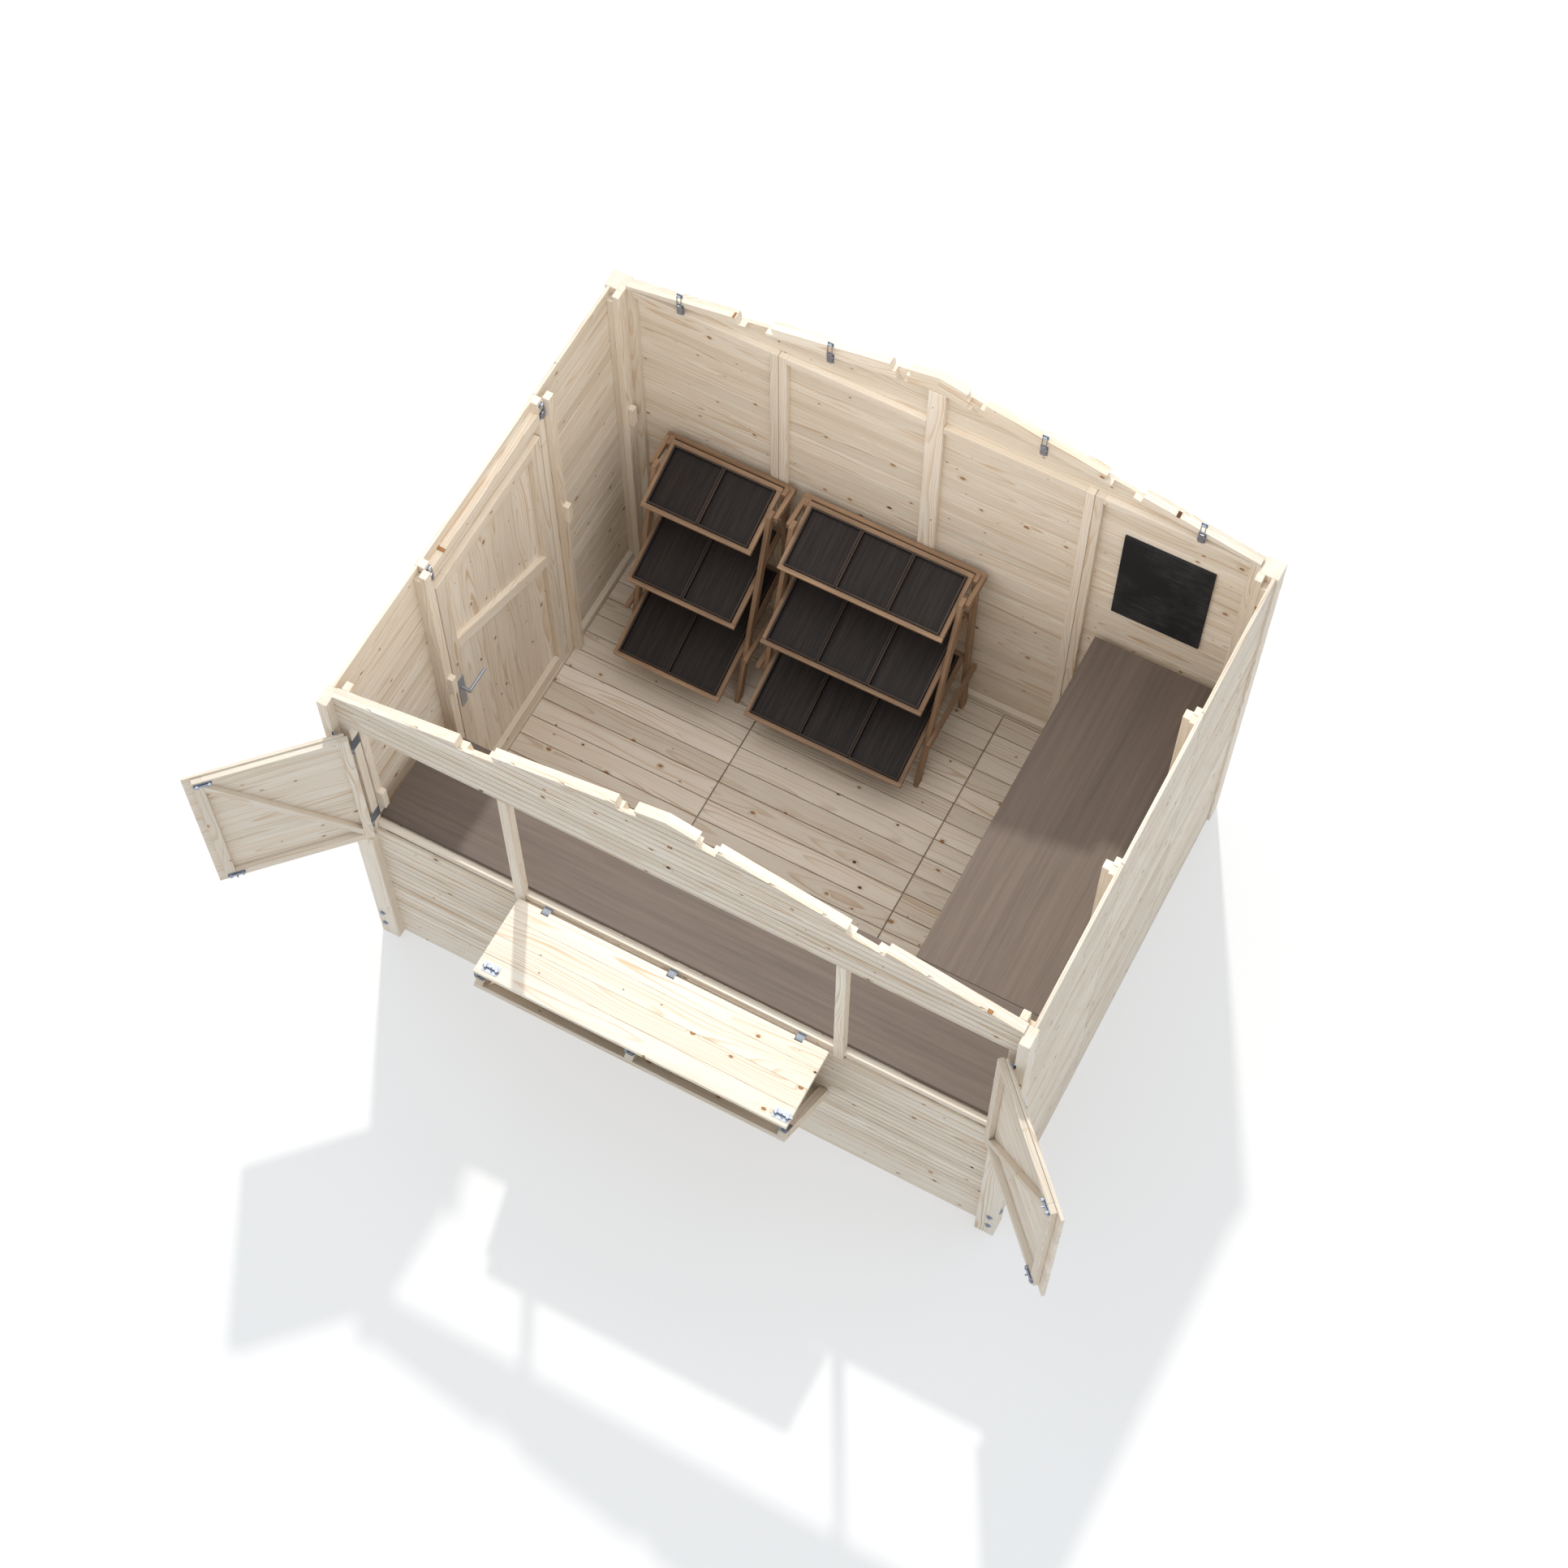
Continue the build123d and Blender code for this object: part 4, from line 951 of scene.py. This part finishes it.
class STALL_OT_door(bpy.types.Operator):
    """Hang the framed and boarded side door"""
    bl_idname = "stall.door"
    bl_label = "Side door"

    def execute(self, context):
        self.door_frame()
        self.door_leaf()
        return {"FINISHED"}

    def door_frame(self):
        """Two jambs, the bar over the door and the threshold."""
        sizes = settings()
        low, high = node_box("door_frame")
        tool = node_solids("door_frame")[0]
        timber = Timber("door_frame_bars", 61)
        jamb = sizes.jamb
        lintel = node_box("left_wall_over_door")[0].z + sizes.lintel_up
        for y in (low.y, high.y - jamb):
            timber.bar((low.x, y, low.z), (high.x, y + jamb, high.z), 2, tool=tool)
        for z0, z1, ease in (
            (lintel, lintel + sizes.lintel, 0.0018), (0, sizes.floor_top + sizes.threshold, 0.003),
        ):
            timber.bar((low.x, low.y + jamb, z0), (high.x, high.y - jamb, z1), 1, ease, tool=tool)
        timber.build("posts", "door_frame")

    def door_leaf(self):
        """Upright boards outside, stiles, rails and a slanting brace inside."""
        sizes = settings()
        low, high = node_box("side_door")
        seam = low.x + sizes.cladding
        rail = sizes.door_rail
        timber = Timber("side_door_boards", 62)
        width = (high.y - low.y) / sizes.door_boards
        outline = board_outline(width, sizes.cladding)
        for index in range(sizes.door_boards):
            start = Vector((seam, low.y + index * width, low.z))
            timber.board(outline, start, high.z - low.z, UP, Y_AXIS, LEFT_OUT)
        y0, y1 = low.y + rail, high.y - rail
        for y in (low.y, y1):
            timber.bar((seam, y, low.z), (high.x, y + rail, high.z), 2, slot=FRAME)
        for z in (low.z, high.z - rail):
            timber.bar((seam, y0, z), (high.x, y1, z + rail), 1, slot=FRAME)
        foot, head = sizes.door_brace_ends
        deep = sizes.door_brace
        rise = math.atan2(head - foot, y1 - y0)
        middle = Vector(((seam + high.x) / 2, (y0 + y1) / 2, (head + foot + deep) / 2))
        half = deep / 2 * math.cos(rise)
        past_end = 0.05
        corners = [
            Vector((x, y, z)) for x in (seam, high.x)
            for y, z in ((y0, head), (y1, foot), (y1, foot + deep), (y0, head + deep))
        ]
        faces = [[0, 1, 2, 3], [7, 6, 5, 4], [0, 4, 5, 1], [1, 5, 6, 2], [2, 6, 7, 3], [3, 7, 4, 0]]
        timber.bar(
            (seam, y0 - past_end, middle.z - half), (high.x, y1 + past_end, middle.z + half), 1, slot=FRAME,
            tool=(corners, faces), turn=about(middle, -rise, "X"),
        )
        timber.build("cladding battens", "side_door", body="side_door_leaf")


def closed_shutter(node):
    """The shutter's solid as it lies when closed, its span, and the matrix that swings it open."""
    opened = math.radians(joint(node + "_hinge")["range_deg"][1])
    solid = moved(largest(node_solids(node)), turned_about(node + "_hinge", opened))
    return (solid, *span_of(solid[0]), turned_about(node + "_hinge", -opened))


class STALL_OT_shutters(bpy.types.Operator):
    """Build the two framed shutters, standing open"""
    bl_idname = "stall.shutters"
    bl_label = "Shutters"

    def execute(self, context):
        self.shutter("left_shutter", 71, False)
        self.shutter("right_shutter", 72, True)
        return {"FINISHED"}

    def shutter(self, node, seed, mirrored):
        """Bars and boards are drawn on the closed shutter, then swung open with it."""
        sizes = settings()
        tool, low, high, open_it = closed_shutter(node)
        seam = low.y + sizes.shutter_cladding
        timber = Timber(node + "_boards", seed)
        timber.cladding(
            (low.x - HAIR / 2, seam), high.x - low.x + HAIR, X_AXIS, FRONT_OUT, low.z, high.z, tool, open_it,
            first_joint=low.z + sizes.board_pitch,
        )
        rail = sizes.shutter_rail
        z0 = low.z + sizes.shutter_foot
        z1 = high.z - sizes.shutter_head
        if mirrored:
            free = low.x + sizes.shutter_stile_inset
            stiles = ((free, free + rail), (high.x - rail, high.x))
        else:
            free = high.x - sizes.shutter_stile_inset
            stiles = ((low.x, low.x + rail), (free - rail, free))
        a, b = stiles[0][1], stiles[1][0]

        def frame_bar(x0, x1, foot, head, grain, solid=tool, turn=None):
            timber.bar((x0, seam, foot), (x1, high.y, head), grain, place=open_it, slot=FRAME, tool=solid, turn=turn)

        for x0, x1 in stiles:
            frame_bar(x0, x1, z0, z1, 2)
        for z in (z0, z1 - rail):
            frame_bar(a, b, z, z + rail, 0)
        foot, head = z0 + rail, z1 - rail
        deep = sizes.shutter_brace
        rise = math.atan2(head - deep - foot, b - a) * (-1 if mirrored else 1)
        middle = Vector(((a + b) / 2, (seam + high.y) / 2, (foot + head) / 2))
        half = deep * math.cos(rise) / 2
        inner = within_box(tool, (a, seam, foot), (b, high.y, head))
        turn = about(middle, -rise, "Y")
        reach = 0.6
        frame_bar(middle.x - reach, middle.x + reach, middle.z - half, middle.z + half, 0, inner, turn)
        timber.build("cladding battens", node, body=node + "_leaf")


class STALL_OT_counter(bpy.types.Operator):
    """Build the folding counter and the leaf that braces it"""
    bl_idname = "stall.counter"
    bl_label = "Folding counter"

    def execute(self, context):
        self.board()
        self.support()
        return {"FINISHED"}

    def board(self):
        sizes = settings()
        tool = max(node_solids("counter_board"), key=volume_of)
        low, high = node_box("counter_board")
        timber = Timber("counter_board_boards", 81)
        width = (high.y - low.y) / sizes.counter_boards
        gap = sizes.board_gap / 2
        for index in range(sizes.counter_boards):
            y = low.y + index * width
            timber.bar((low.x, y + gap, low.z), (high.x, y + width - gap, high.z), 0, 0.0012, tool=tool)
        timber.build("counter", "counter_board", body="counter_leaf")

    def support(self):
        """The leaf is drawn level along +y from its hinge axis and then tilted down to the apron."""
        sizes = settings()
        item = joint("counter_support_hinge")
        tilt = about(Vector(item["pos_m"]) + TO_CORNER, math.radians(item["range_deg"][1] - 180), "X")
        tool = moved(largest(node_solids("counter_support")), tilt.inverted())
        low, high = span_of(tool[0])
        clad = sizes.support_cladding
        timber = Timber("counter_support_boards", 82)
        seam = low.z + clad
        y = low.y
        widest_last = sizes.board_pitch + 0.03
        while y < high.y - HAIR:
            top = y + sizes.board_pitch if high.y - y >= widest_last else high.y
            origin = Vector((low.x, (y + top) / 2, seam))
            timber.board(
                board_outline(top - y, clad), Vector((low.x, y, seam)), high.x - low.x, X_AXIS, Y_AXIS, DOWN,
                tilt, tool, lambda point: point - origin,
            )
            y = top
        stile = sizes.batten_width
        for x in (low.x, (low.x + high.x - stile) / 2, high.x - stile):
            timber.bar((x, low.y, seam), (x + stile, high.y, high.z), 1, place=tilt, slot=FRAME, tool=tool)
        timber.build("cladding battens", "counter_support", body="support_leaf")


class Fittings:
    """Gathers zinc plates, rods and screw heads into one mesh."""

    def __init__(self, name):
        self.name = name
        self.work = bmesh.new()

    def plate(self, middle, size, turn=None):
        """A flat plate or block; turn points its own x, y and z the way it is fixed."""
        place = Matrix.Translation(middle) @ (turn or Matrix.Identity(4)) @ Matrix.Diagonal((*size, 1.0))
        bmesh.ops.create_cube(self.work, size=1.0, matrix=place)

    def rod(self, start, end, radius, sides=12):
        """A round rod between two points."""
        run = end - start
        place = Matrix.Translation((start + end) / 2) @ run.to_track_quat("Z", "Y").to_matrix().to_4x4()
        bmesh.ops.create_cone(
            self.work, cap_ends=True, segments=sides, radius1=radius, radius2=radius, depth=run.length, matrix=place
        )

    def screw(self, middle, out):
        """A screw head on a face."""
        self.rod(middle, middle + out * 0.0012, 0.0038, 10)

    def coach_bolt(self, base, out):
        """A bolt's washer and six-sided head."""
        washer, head = base + out * 0.0025, base + out * 0.0095
        self.rod(base, washer, 0.0150, 20)
        self.rod(washer, head, 0.0095, 6)

    def barrel_bolt(self, middle, along, out, size, past):
        """A bolt sliding in two straps on a plate; past is how far the rod stands out beyond it."""
        sizes = settings()
        across = out.cross(along)
        turn = Matrix((along, across, out)).transposed().to_4x4()
        length, wide = size
        thick = sizes.plate_thickness
        self.plate(middle + out * thick / 2, (length, wide, thick), turn)
        high = sizes.bolt_rod / 2 + thick
        strap_run, foot, knob = 0.010, 0.004, 0.014
        for side in (-1, 1):
            strap = middle + along * side * (length / 2 - strap_run)
            self.plate(strap + out * high, (strap_run, sizes.bolt_rod + 2 * foot, 2 * high), turn)
            for edge in (-1, 1):
                self.screw(strap + across * edge * wide * 0.38 + out * thick, out)
        rod = middle + out * high
        self.rod(rod - along * length / 2, rod + along * (length / 2 + past), sizes.bolt_rod / 2)
        self.rod(rod, rod + out * knob, 0.0035)

    def toggle_latch(self, middle, out, length):
        """An upright toggle latch: catch above, wire loop, lever and base plate."""
        sizes = settings()
        across = UP.cross(out)
        turn = Matrix((across, out, UP)).transposed().to_4x4()
        wide = sizes.latch_width
        thick = sizes.plate_thickness
        base = middle - UP * length * 0.27
        catch = middle + UP * length * 0.40

        def at(point, share, rise, stand):
            """A place on the latch: a share of its width across, up and out from a point."""
            return point + across * wide * share + UP * rise + out * stand

        self.plate(at(base, 0, 0, thick / 2), (wide, thick, length * 0.46), turn)
        self.plate(at(catch, 0, 0, thick / 2), (wide * 0.8, thick, length * 0.20), turn)
        self.plate(at(catch, 0, 0, thick + 0.004), (wide * 0.45, 0.008, 0.010), turn)
        self.plate(at(base, 0, length * 0.04, thick + 0.007), (wide * 0.62, 0.006, length * 0.40), turn)
        self.rod(at(base, -0.4, 0.012, 0.008), at(base, 0.4, 0.012, 0.008), 0.004)
        for side in (-1, 1):
            self.rod(at(base, side * 0.28, length * 0.10, 0.010), at(catch, side * 0.28, 0, 0.008), 0.0022, 8)
            self.screw(at(base, side * 0.3, -length * 0.17, thick), out)
            self.screw(at(catch, side * 0.25, length * 0.06, thick), out)
        self.rod(at(catch, -0.28, 0, 0.010), at(catch, 0.28, 0, 0.010), 0.0022, 8)

    def build(self, body, place=None):
        """Make the mesh object and fix it to its body."""
        if place:
            bmesh.ops.transform(self.work, matrix=place, verts=self.work.verts)
        bmesh.ops.translate(self.work, vec=-TO_CORNER, verts=self.work.verts)
        mesh = bpy.data.meshes.new(self.name)
        self.work.to_mesh(mesh)
        self.work.free()
        mesh.materials.append(MATERIALS["zinc"])
        dress(self.name, mesh, body, ())


class STALL_OT_fittings(bpy.types.Operator):
    """Fix the bolts, latches and stay rods"""
    bl_idname = "stall.fittings"
    bl_label = "Fittings"

    def execute(self, context):
        self.counter_bolts()
        self.shutter_bolts("left_shutter", False)
        self.shutter_bolts("right_shutter", True)
        self.wall_fittings()
        self.keys()
        return {"FINISHED"}

    def counter_bolts(self):
        """A barrel bolt at each front corner of the counter, its rod clear of the window posts."""
        sizes = settings()
        low, high = node_box("counter_board")
        half = sizes.counter_bolt[0] / 2
        left = node_box("window_posts")[0].x + sizes.window_post + BOLT_CLEAR + half
        right = high.x - 0.004 - half
        from_front = 0.040
        for name, side, x, past in (("left", -1, left, 0.002), ("right", 1, right, 0.011)):
            bolt = Fittings("counter_bolt_" + name)
            middle = Vector((x, low.y + from_front, high.z))
            bolt.barrel_bolt(middle, X_AXIS * side, UP, sizes.counter_bolt, past)
            bolt.build("counter_leaf")

    def shutter_bolts(self, node, mirrored):
        """Bolts on the head and foot rails at the free end, and the rod that stays the shutter open."""
        sizes = settings()
        low, high, open_it = closed_shutter(node)[1:]
        length, wide = sizes.shutter_bolt
        inset = sizes.shutter_stile_inset + BOLT_CLEAR + length / 2
        x, free = (low.x + inset, -X_AXIS) if mirrored else (high.x - inset, X_AXIS)
        rail = sizes.shutter_rail
        bolts = Fittings(node + "_bolts")
        for z in (high.z - sizes.shutter_head - rail / 2, low.z + sizes.shutter_foot + rail - wide / 2):
            bolts.barrel_bolt(Vector((x, high.y, z)), free, BACK_OUT, sizes.shutter_bolt, 0.004)
        bolts.build(node + "_leaf", open_it)
        self.stay(node, mirrored)

    def stay(self, node, mirrored):
        """A thin rod from an eye on the corner post to an eye near the shutter's head."""
        sizes = settings()
        post, leaf = Vector(sizes.stay_post), Vector(sizes.stay_shutter)
        if mirrored:
            post.x, leaf.x = WIDTH - post.x, WIDTH - leaf.x
        out = Vector((leaf.x - post.x, 0, 0)).normalized()
        eye = Fittings(node + "_stay_eye")
        eye.plate(post + BACK_OUT * 0.002, (0.024, 0.004, 0.032))
        eye.rod(post, post + FRONT_OUT * 0.014, 0.0035)
        eye.build("stall")
        rod = Fittings(node + "_stay_rod")
        rod.rod(post + FRONT_OUT * 0.011, leaf + out * 0.006, 0.0028, 10)
        rod.rod(leaf - out * 0.012, leaf + out * 0.012, 0.0045)
        rod.build(node + "_leaf")

    def wall_fittings(self):
        """Toggle latches on the back gable and the left wall, and the coach bolts at the posts' feet."""
        sizes = settings()
        latches = Fittings("gable_latches")
        face = node_box("back_gable_planks")[0].y
        for x, z in zip(sizes.gable_latch_x, sizes.gable_latch_z):
            latches.toggle_latch(Vector((x, face, z)), FRONT_OUT, sizes.latch_length)
        latches.build("stall")
        toggles = Fittings("left_wall_latches")
        face = node_box("door_frame")[1].x
        for y in sizes.wall_latch_y:
            toggles.toggle_latch(Vector((face, y, sizes.wall_latch_z)), RIGHT_OUT, sizes.latch_length * 0.75)
        toggles.build("stall")
        bolts = Fittings("post_foot_bolts")
        for x, z in product((sizes.foot_bolt_in, WIDTH - sizes.foot_bolt_in), sizes.foot_bolt_z):
            bolts.coach_bolt(Vector((x, 0, z)), FRONT_OUT)
        for x, out in ((WIDTH, RIGHT_OUT), (0, LEFT_OUT)):
            bolts.coach_bolt(Vector((x, 0.044, sizes.foot_bolt_z[0])), out)
        bolts.build("stall")

    def keys(self):
        """Small wooden keys that hold the wall panels together."""
        sizes = settings()
        timber = Timber("panel_keys", 121)
        face = node_box("wall_joining_posts")[0].x + sizes.joining_post
        deep, wide, long = 0.026, 0.030, 0.120
        for y, z in zip(sizes.key_y, sizes.key_z):
            timber.bar((face, y - wide / 2, z - long), (face + deep, y + wide / 2, z), 2, 0.0015)
        timber.build("posts")


class STALL_OT_worktop(bpy.types.Operator):
    """Lay the worktop on its legs"""
    bl_idname = "stall.worktop"
    bl_label = "Worktop"

    def execute(self, context):
        for node, along, seed in (("worktop_front", 0, 91), ("worktop_side", 1, 92)):
            timber = Timber(node + "_board", seed)
            timber.bar(*node_box(node), along, 0.0015)
            timber.build("worktop", node, slot="worktop_board")
        legs = Timber("worktop_leg_bars", 93)
        legs.node_bars("worktop_legs", 0.002)
        legs.build("posts", "worktop_legs", slot="worktop_board")
        return {"FINISHED"}


class STALL_OT_racks(bpy.types.Operator):
    """Build the two bread racks with their stained trays"""
    bl_idname = "stall.racks"
    bl_label = "Bread racks"

    def execute(self, context):
        for rack, seed in (("bread_rack_small", 101), ("bread_rack_large", 104)):
            self.sides(rack + "_sides", seed)
            self.shelves(rack + "_shelves", seed + 1)
            self.trays(rack + "_trays", rack + "_shelves", seed + 2)
        return {"FINISHED"}

    def sides(self, node, seed):
        """Leaning front legs, upright back legs, two pairs of arms and the rail on the wall."""
        sizes = settings()
        low, high = node_box(node)
        timber = Timber(node + "_bars", seed)
        bar, leg = sizes.rack_bar, sizes.rack_leg
        rail_y = high.y - bar
        rail_z = high.z - sizes.rack_rail_down
        rail_top = rail_z + sizes.rack_rail
        arm_z = sizes.rack_arm_height
        lean = Matrix.Identity(4)
        lean[1][2] = sizes.rack_lean / (high.z - low.z)
        foot = Vector((0, low.y, low.z))
        place = Matrix.Translation(foot) @ lean @ Matrix.Translation(-foot)
        for inner, outer in ((low.x + bar, low.x), (high.x - 2 * bar, high.x - bar)):
            timber.bar((inner, low.y, low.z), (inner + bar, low.y + leg, high.z), 2, place=place)
            timber.bar((inner, rail_y - leg, low.z), (inner + bar, rail_y, high.z), 2)
            timber.bar((outer, self.back() - sizes.rack_rail_out, rail_z), (outer + bar, rail_y, rail_top), 1)
            timber.bar(
                (outer, self.back() - sizes.rack_arm_out, arm_z), (outer + bar, high.y, arm_z + sizes.rack_arm), 1
            )
        timber.bar((low.x, rail_y, rail_z), (high.x, high.y, rail_top), 0)
        timber.build("rack", node, slot="rack_wood")

    def back(self):
        """Inner face of the back wall's frame."""
        return node_box("back_wall_left_panel")[0].y

    def tiers(self):
        """Where each sloping tier starts, and how deep it is."""
        sizes = settings()
        for out, height in zip(sizes.rack_tier_out, sizes.rack_tier_height):
            start = Matrix.Translation((0, self.back() - out, height))
            depth = (out - sizes.rack_tier_back) / math.cos(sizes.rack_slope)
            yield start @ Matrix.Rotation(sizes.rack_slope, 4, "X"), depth

    def shelves(self, node, seed):
        """Each tier is a frame with slats across it."""
        sizes = settings()
        low, high = node_box(node)
        timber = Timber(node + "_bars", seed)
        bar = sizes.rack_bar
        for place, depth in self.tiers():
            for y in (0, depth - bar):
                timber.bar((low.x, y, 0), (high.x, y + bar, bar), 0, place=place)
            for x in (low.x, high.x - bar):
                timber.bar((x, bar, 0), (x + bar, depth - bar, bar), 1, place=place)
            spans = round((depth - bar) / sizes.rack_slat_step)
            for index in range(1, spans):
                y = index * (depth - bar) / spans
                timber.bar((low.x + bar, y, 0), (high.x - bar, y + bar, sizes.rack_slat), 0, place=place)
        timber.build("rack", node, slot="rack_wood")

    def trays(self, node, shelves, seed):
        """Open trays side by side, each wall with a lighter brown band along its top."""
        sizes = settings()
        low, high = node_box(shelves)
        timber = Timber(node + "_bars", seed)
        bar, run = sizes.rack_bar, sizes.tray_run
        columns = round((high.x - low.x) / sizes.tray_width)
        span = (high.x - low.x - 2 * bar) / columns
        for place, depth in self.tiers():
            for column in range(columns):
                x0 = low.x + bar + column * span + run
                start = Vector((x0, bar + run, sizes.rack_slat))
                end = Vector((x0 + span - 2 * run, depth - bar - run, sizes.rack_slat + sizes.tray_height))
                self.tray(timber, start, end, place)
        timber.build("tray tray_rim", node, slot="dark_tray_wood")

    def tray(self, timber, low, high, place):
        """Four walls, each with a lighter brown band along its top, and a floor between them."""
        sizes = settings()
        wall = sizes.tray_wall
        top = high.z - sizes.tray_rim
        walls = (
            (low.x, low.y, high.x, low.y + wall, 0), (low.x, high.y - wall, high.x, high.y, 0),
            (low.x, low.y + wall, low.x + wall, high.y - wall, 1),
            (high.x - wall, low.y + wall, high.x, high.y - wall, 1),
        )
        for x0, y0, x1, y1, along in walls:
            timber.bar((x0, y0, low.z), (x1, y1, top), along, 0.0006, place=place)
            timber.bar((x0, y0, top), (x1, y1, high.z), along, 0.0006, place=place, slot=1)
        first = (low.x + wall, low.y + wall, low.z)
        last = (high.x - wall, high.y - wall, low.z + sizes.tray_floor)
        timber.bar(first, last, 1, 0.0004, place=place)


class STALL_OT_blackboard(bpy.types.Operator):
    """Hang the blackboard"""
    bl_idname = "stall.blackboard"
    bl_label = "Blackboard"

    def execute(self, context):
        timber = Timber("blackboard_panel", 111)
        timber.bar(*node_box("blackboard"), 0, 0.001)
        timber.build("chalkboard", "blackboard", slot="blackboard_face")
        return {"FINISHED"}


class STALL_OT_hinges(bpy.types.Operator):
    """Give the hinges and the door handle their zinc finish"""
    bl_idname = "stall.hinges"
    bl_label = "Hinges"

    def execute(self, context):
        for name, node in frame["nodes"].items():
            if "hinges" in name or "handle" in name:
                dull = name == "frame_hinges" or name.startswith("counter")
                node.data.materials.clear()
                node.data.materials.append(MATERIALS["dull_zinc" if dull else "zinc"])
        return {"FINISHED"}


class STALL_OT_stage(bpy.types.Operator):
    """Set the floor, the lights and the camera"""
    bl_idname = "stall.stage"
    bl_label = "Stage"

    def execute(self, context):
        bpy.context.scene.view_settings.view_transform = "Standard"
        self.ground()
        self.sky()
        self.lights()
        self.camera()
        return {"FINISHED"}

    def ground(self):
        bpy.ops.mesh.primitive_plane_add(size=400, location=(0, 0, 0))
        plane = bpy.context.view_layer.objects.active
        plane.name = "studio_ground"
        n = Nodes("studio_ground_finish")
        n.shader.inputs["Emission Color"].default_value = (1.0, 1.0, 1.0, 1.0)
        plane.data.materials.append(n.finish((0.50, 0.50, 0.50), 0.9, Emission_Strength=0.43))

    def sky(self):
        """The sky is brighter overhead than at the horizon."""
        world = bpy.data.worlds.new("studio_sky")
        bpy.context.scene.world = world
        world.use_nodes = True
        tree = world.node_tree
        background = tree.nodes["Background"]
        background.inputs["Color"].default_value = (0.885, 0.945, 1.0, 1.0)
        direction = tree.nodes.new("ShaderNodeTexCoord")
        parts = tree.nodes.new("ShaderNodeSeparateXYZ")
        strength = tree.nodes.new("ShaderNodeMapRange")
        strength.inputs["To Min"].default_value = 0.25
        strength.inputs["To Max"].default_value = 1.10
        tree.links.new(direction.outputs["Generated"], parts.inputs[0])
        tree.links.new(parts.outputs["Z"], strength.inputs["Value"])
        tree.links.new(strength.outputs[0], background.inputs["Strength"])

    def light(self, name, kind, energy, colour):
        """A new light in the scene."""
        data = bpy.data.lights.new(name, kind)
        data.energy = energy
        data.color = colour
        lamp = bpy.data.objects.new(name, data)
        bpy.context.scene.collection.objects.link(lamp)
        return lamp

    def lights(self):
        """The sun from the back left, and a wide soft light over the open roof."""
        sun = self.light("studio_sun", "SUN", 1.85, (1.0, 0.965, 0.90))
        sun.data.angle = math.radians(2.0)
        height = math.radians(48)
        towards = Vector((-0.471 * math.cos(height), 0.882 * math.cos(height), math.sin(height)))
        sun.rotation_mode = "QUATERNION"
        sun.rotation_quaternion = towards.to_track_quat("Z", "Y")
        softbox = self.light("studio_softbox", "AREA", 22.0, (1.0, 0.945, 0.87))
        softbox.data.shape = "RECTANGLE"
        softbox.data.size = 2.7
        softbox.data.size_y = 2.0
        softbox.location = (0, 0, 2.75)
        softbox.visible_camera = False

    def camera(self):
        data = bpy.data.cameras.new("photo_camera")
        data.angle = math.radians(30)
        camera = bpy.data.objects.new("photo_camera", data)
        camera.location = (2.5651, -5.0008, 11.7966)
        camera.rotation_euler = (math.radians(27.091), 0, math.radians(28.085))
        bpy.context.scene.collection.objects.link(camera)
        bpy.context.scene.camera = camera


OPERATORS = (
    STALL_OT_materials, STALL_OT_floor, STALL_OT_posts, STALL_OT_walls, STALL_OT_gables, STALL_OT_door,
    STALL_OT_shutters, STALL_OT_counter, STALL_OT_fittings, STALL_OT_worktop, STALL_OT_racks,
    STALL_OT_blackboard, STALL_OT_hinges, STALL_OT_stage,
)


class STALL_PT_panel(bpy.types.Panel):
    """The stall's pieces, sizes and colours"""
    bl_idname = "STALL_PT_panel"
    bl_label = "Market stall"
    bl_space_type = "VIEW_3D"
    bl_region_type = "UI"
    bl_category = "Market stall"

    def draw(self, context):
        layout = self.layout
        for group, names in ((context.scene.stall_sizes, SIZES), (context.scene.stall_finishes, COLOURS)):
            column = layout.column(align=True)
            for name in names:
                column.prop(group, name)
        column = layout.column(align=True)
        for operator in OPERATORS:
            column.operator(operator.bl_idname)


CLASSES = (StallSizes, StallFinishes, *OPERATORS, STALL_PT_panel)


def register():
    for made in CLASSES:
        bpy.utils.register_class(made)
    bpy.types.Scene.stall_sizes = bpy.props.PointerProperty(type=StallSizes)
    bpy.types.Scene.stall_finishes = bpy.props.PointerProperty(type=StallFinishes)


def unregister():
    del bpy.types.Scene.stall_finishes
    del bpy.types.Scene.stall_sizes
    for made in reversed(CLASSES):
        bpy.utils.unregister_class(made)


def main():
    register()
    for operator in OPERATORS:
        group, name = operator.bl_idname.split(".")
        result = getattr(getattr(bpy.ops, group), name)()
        if result != {"FINISHED"}:
            raise RuntimeError(operator.bl_label + " was not built")


if __name__ == "__main__":
    main()
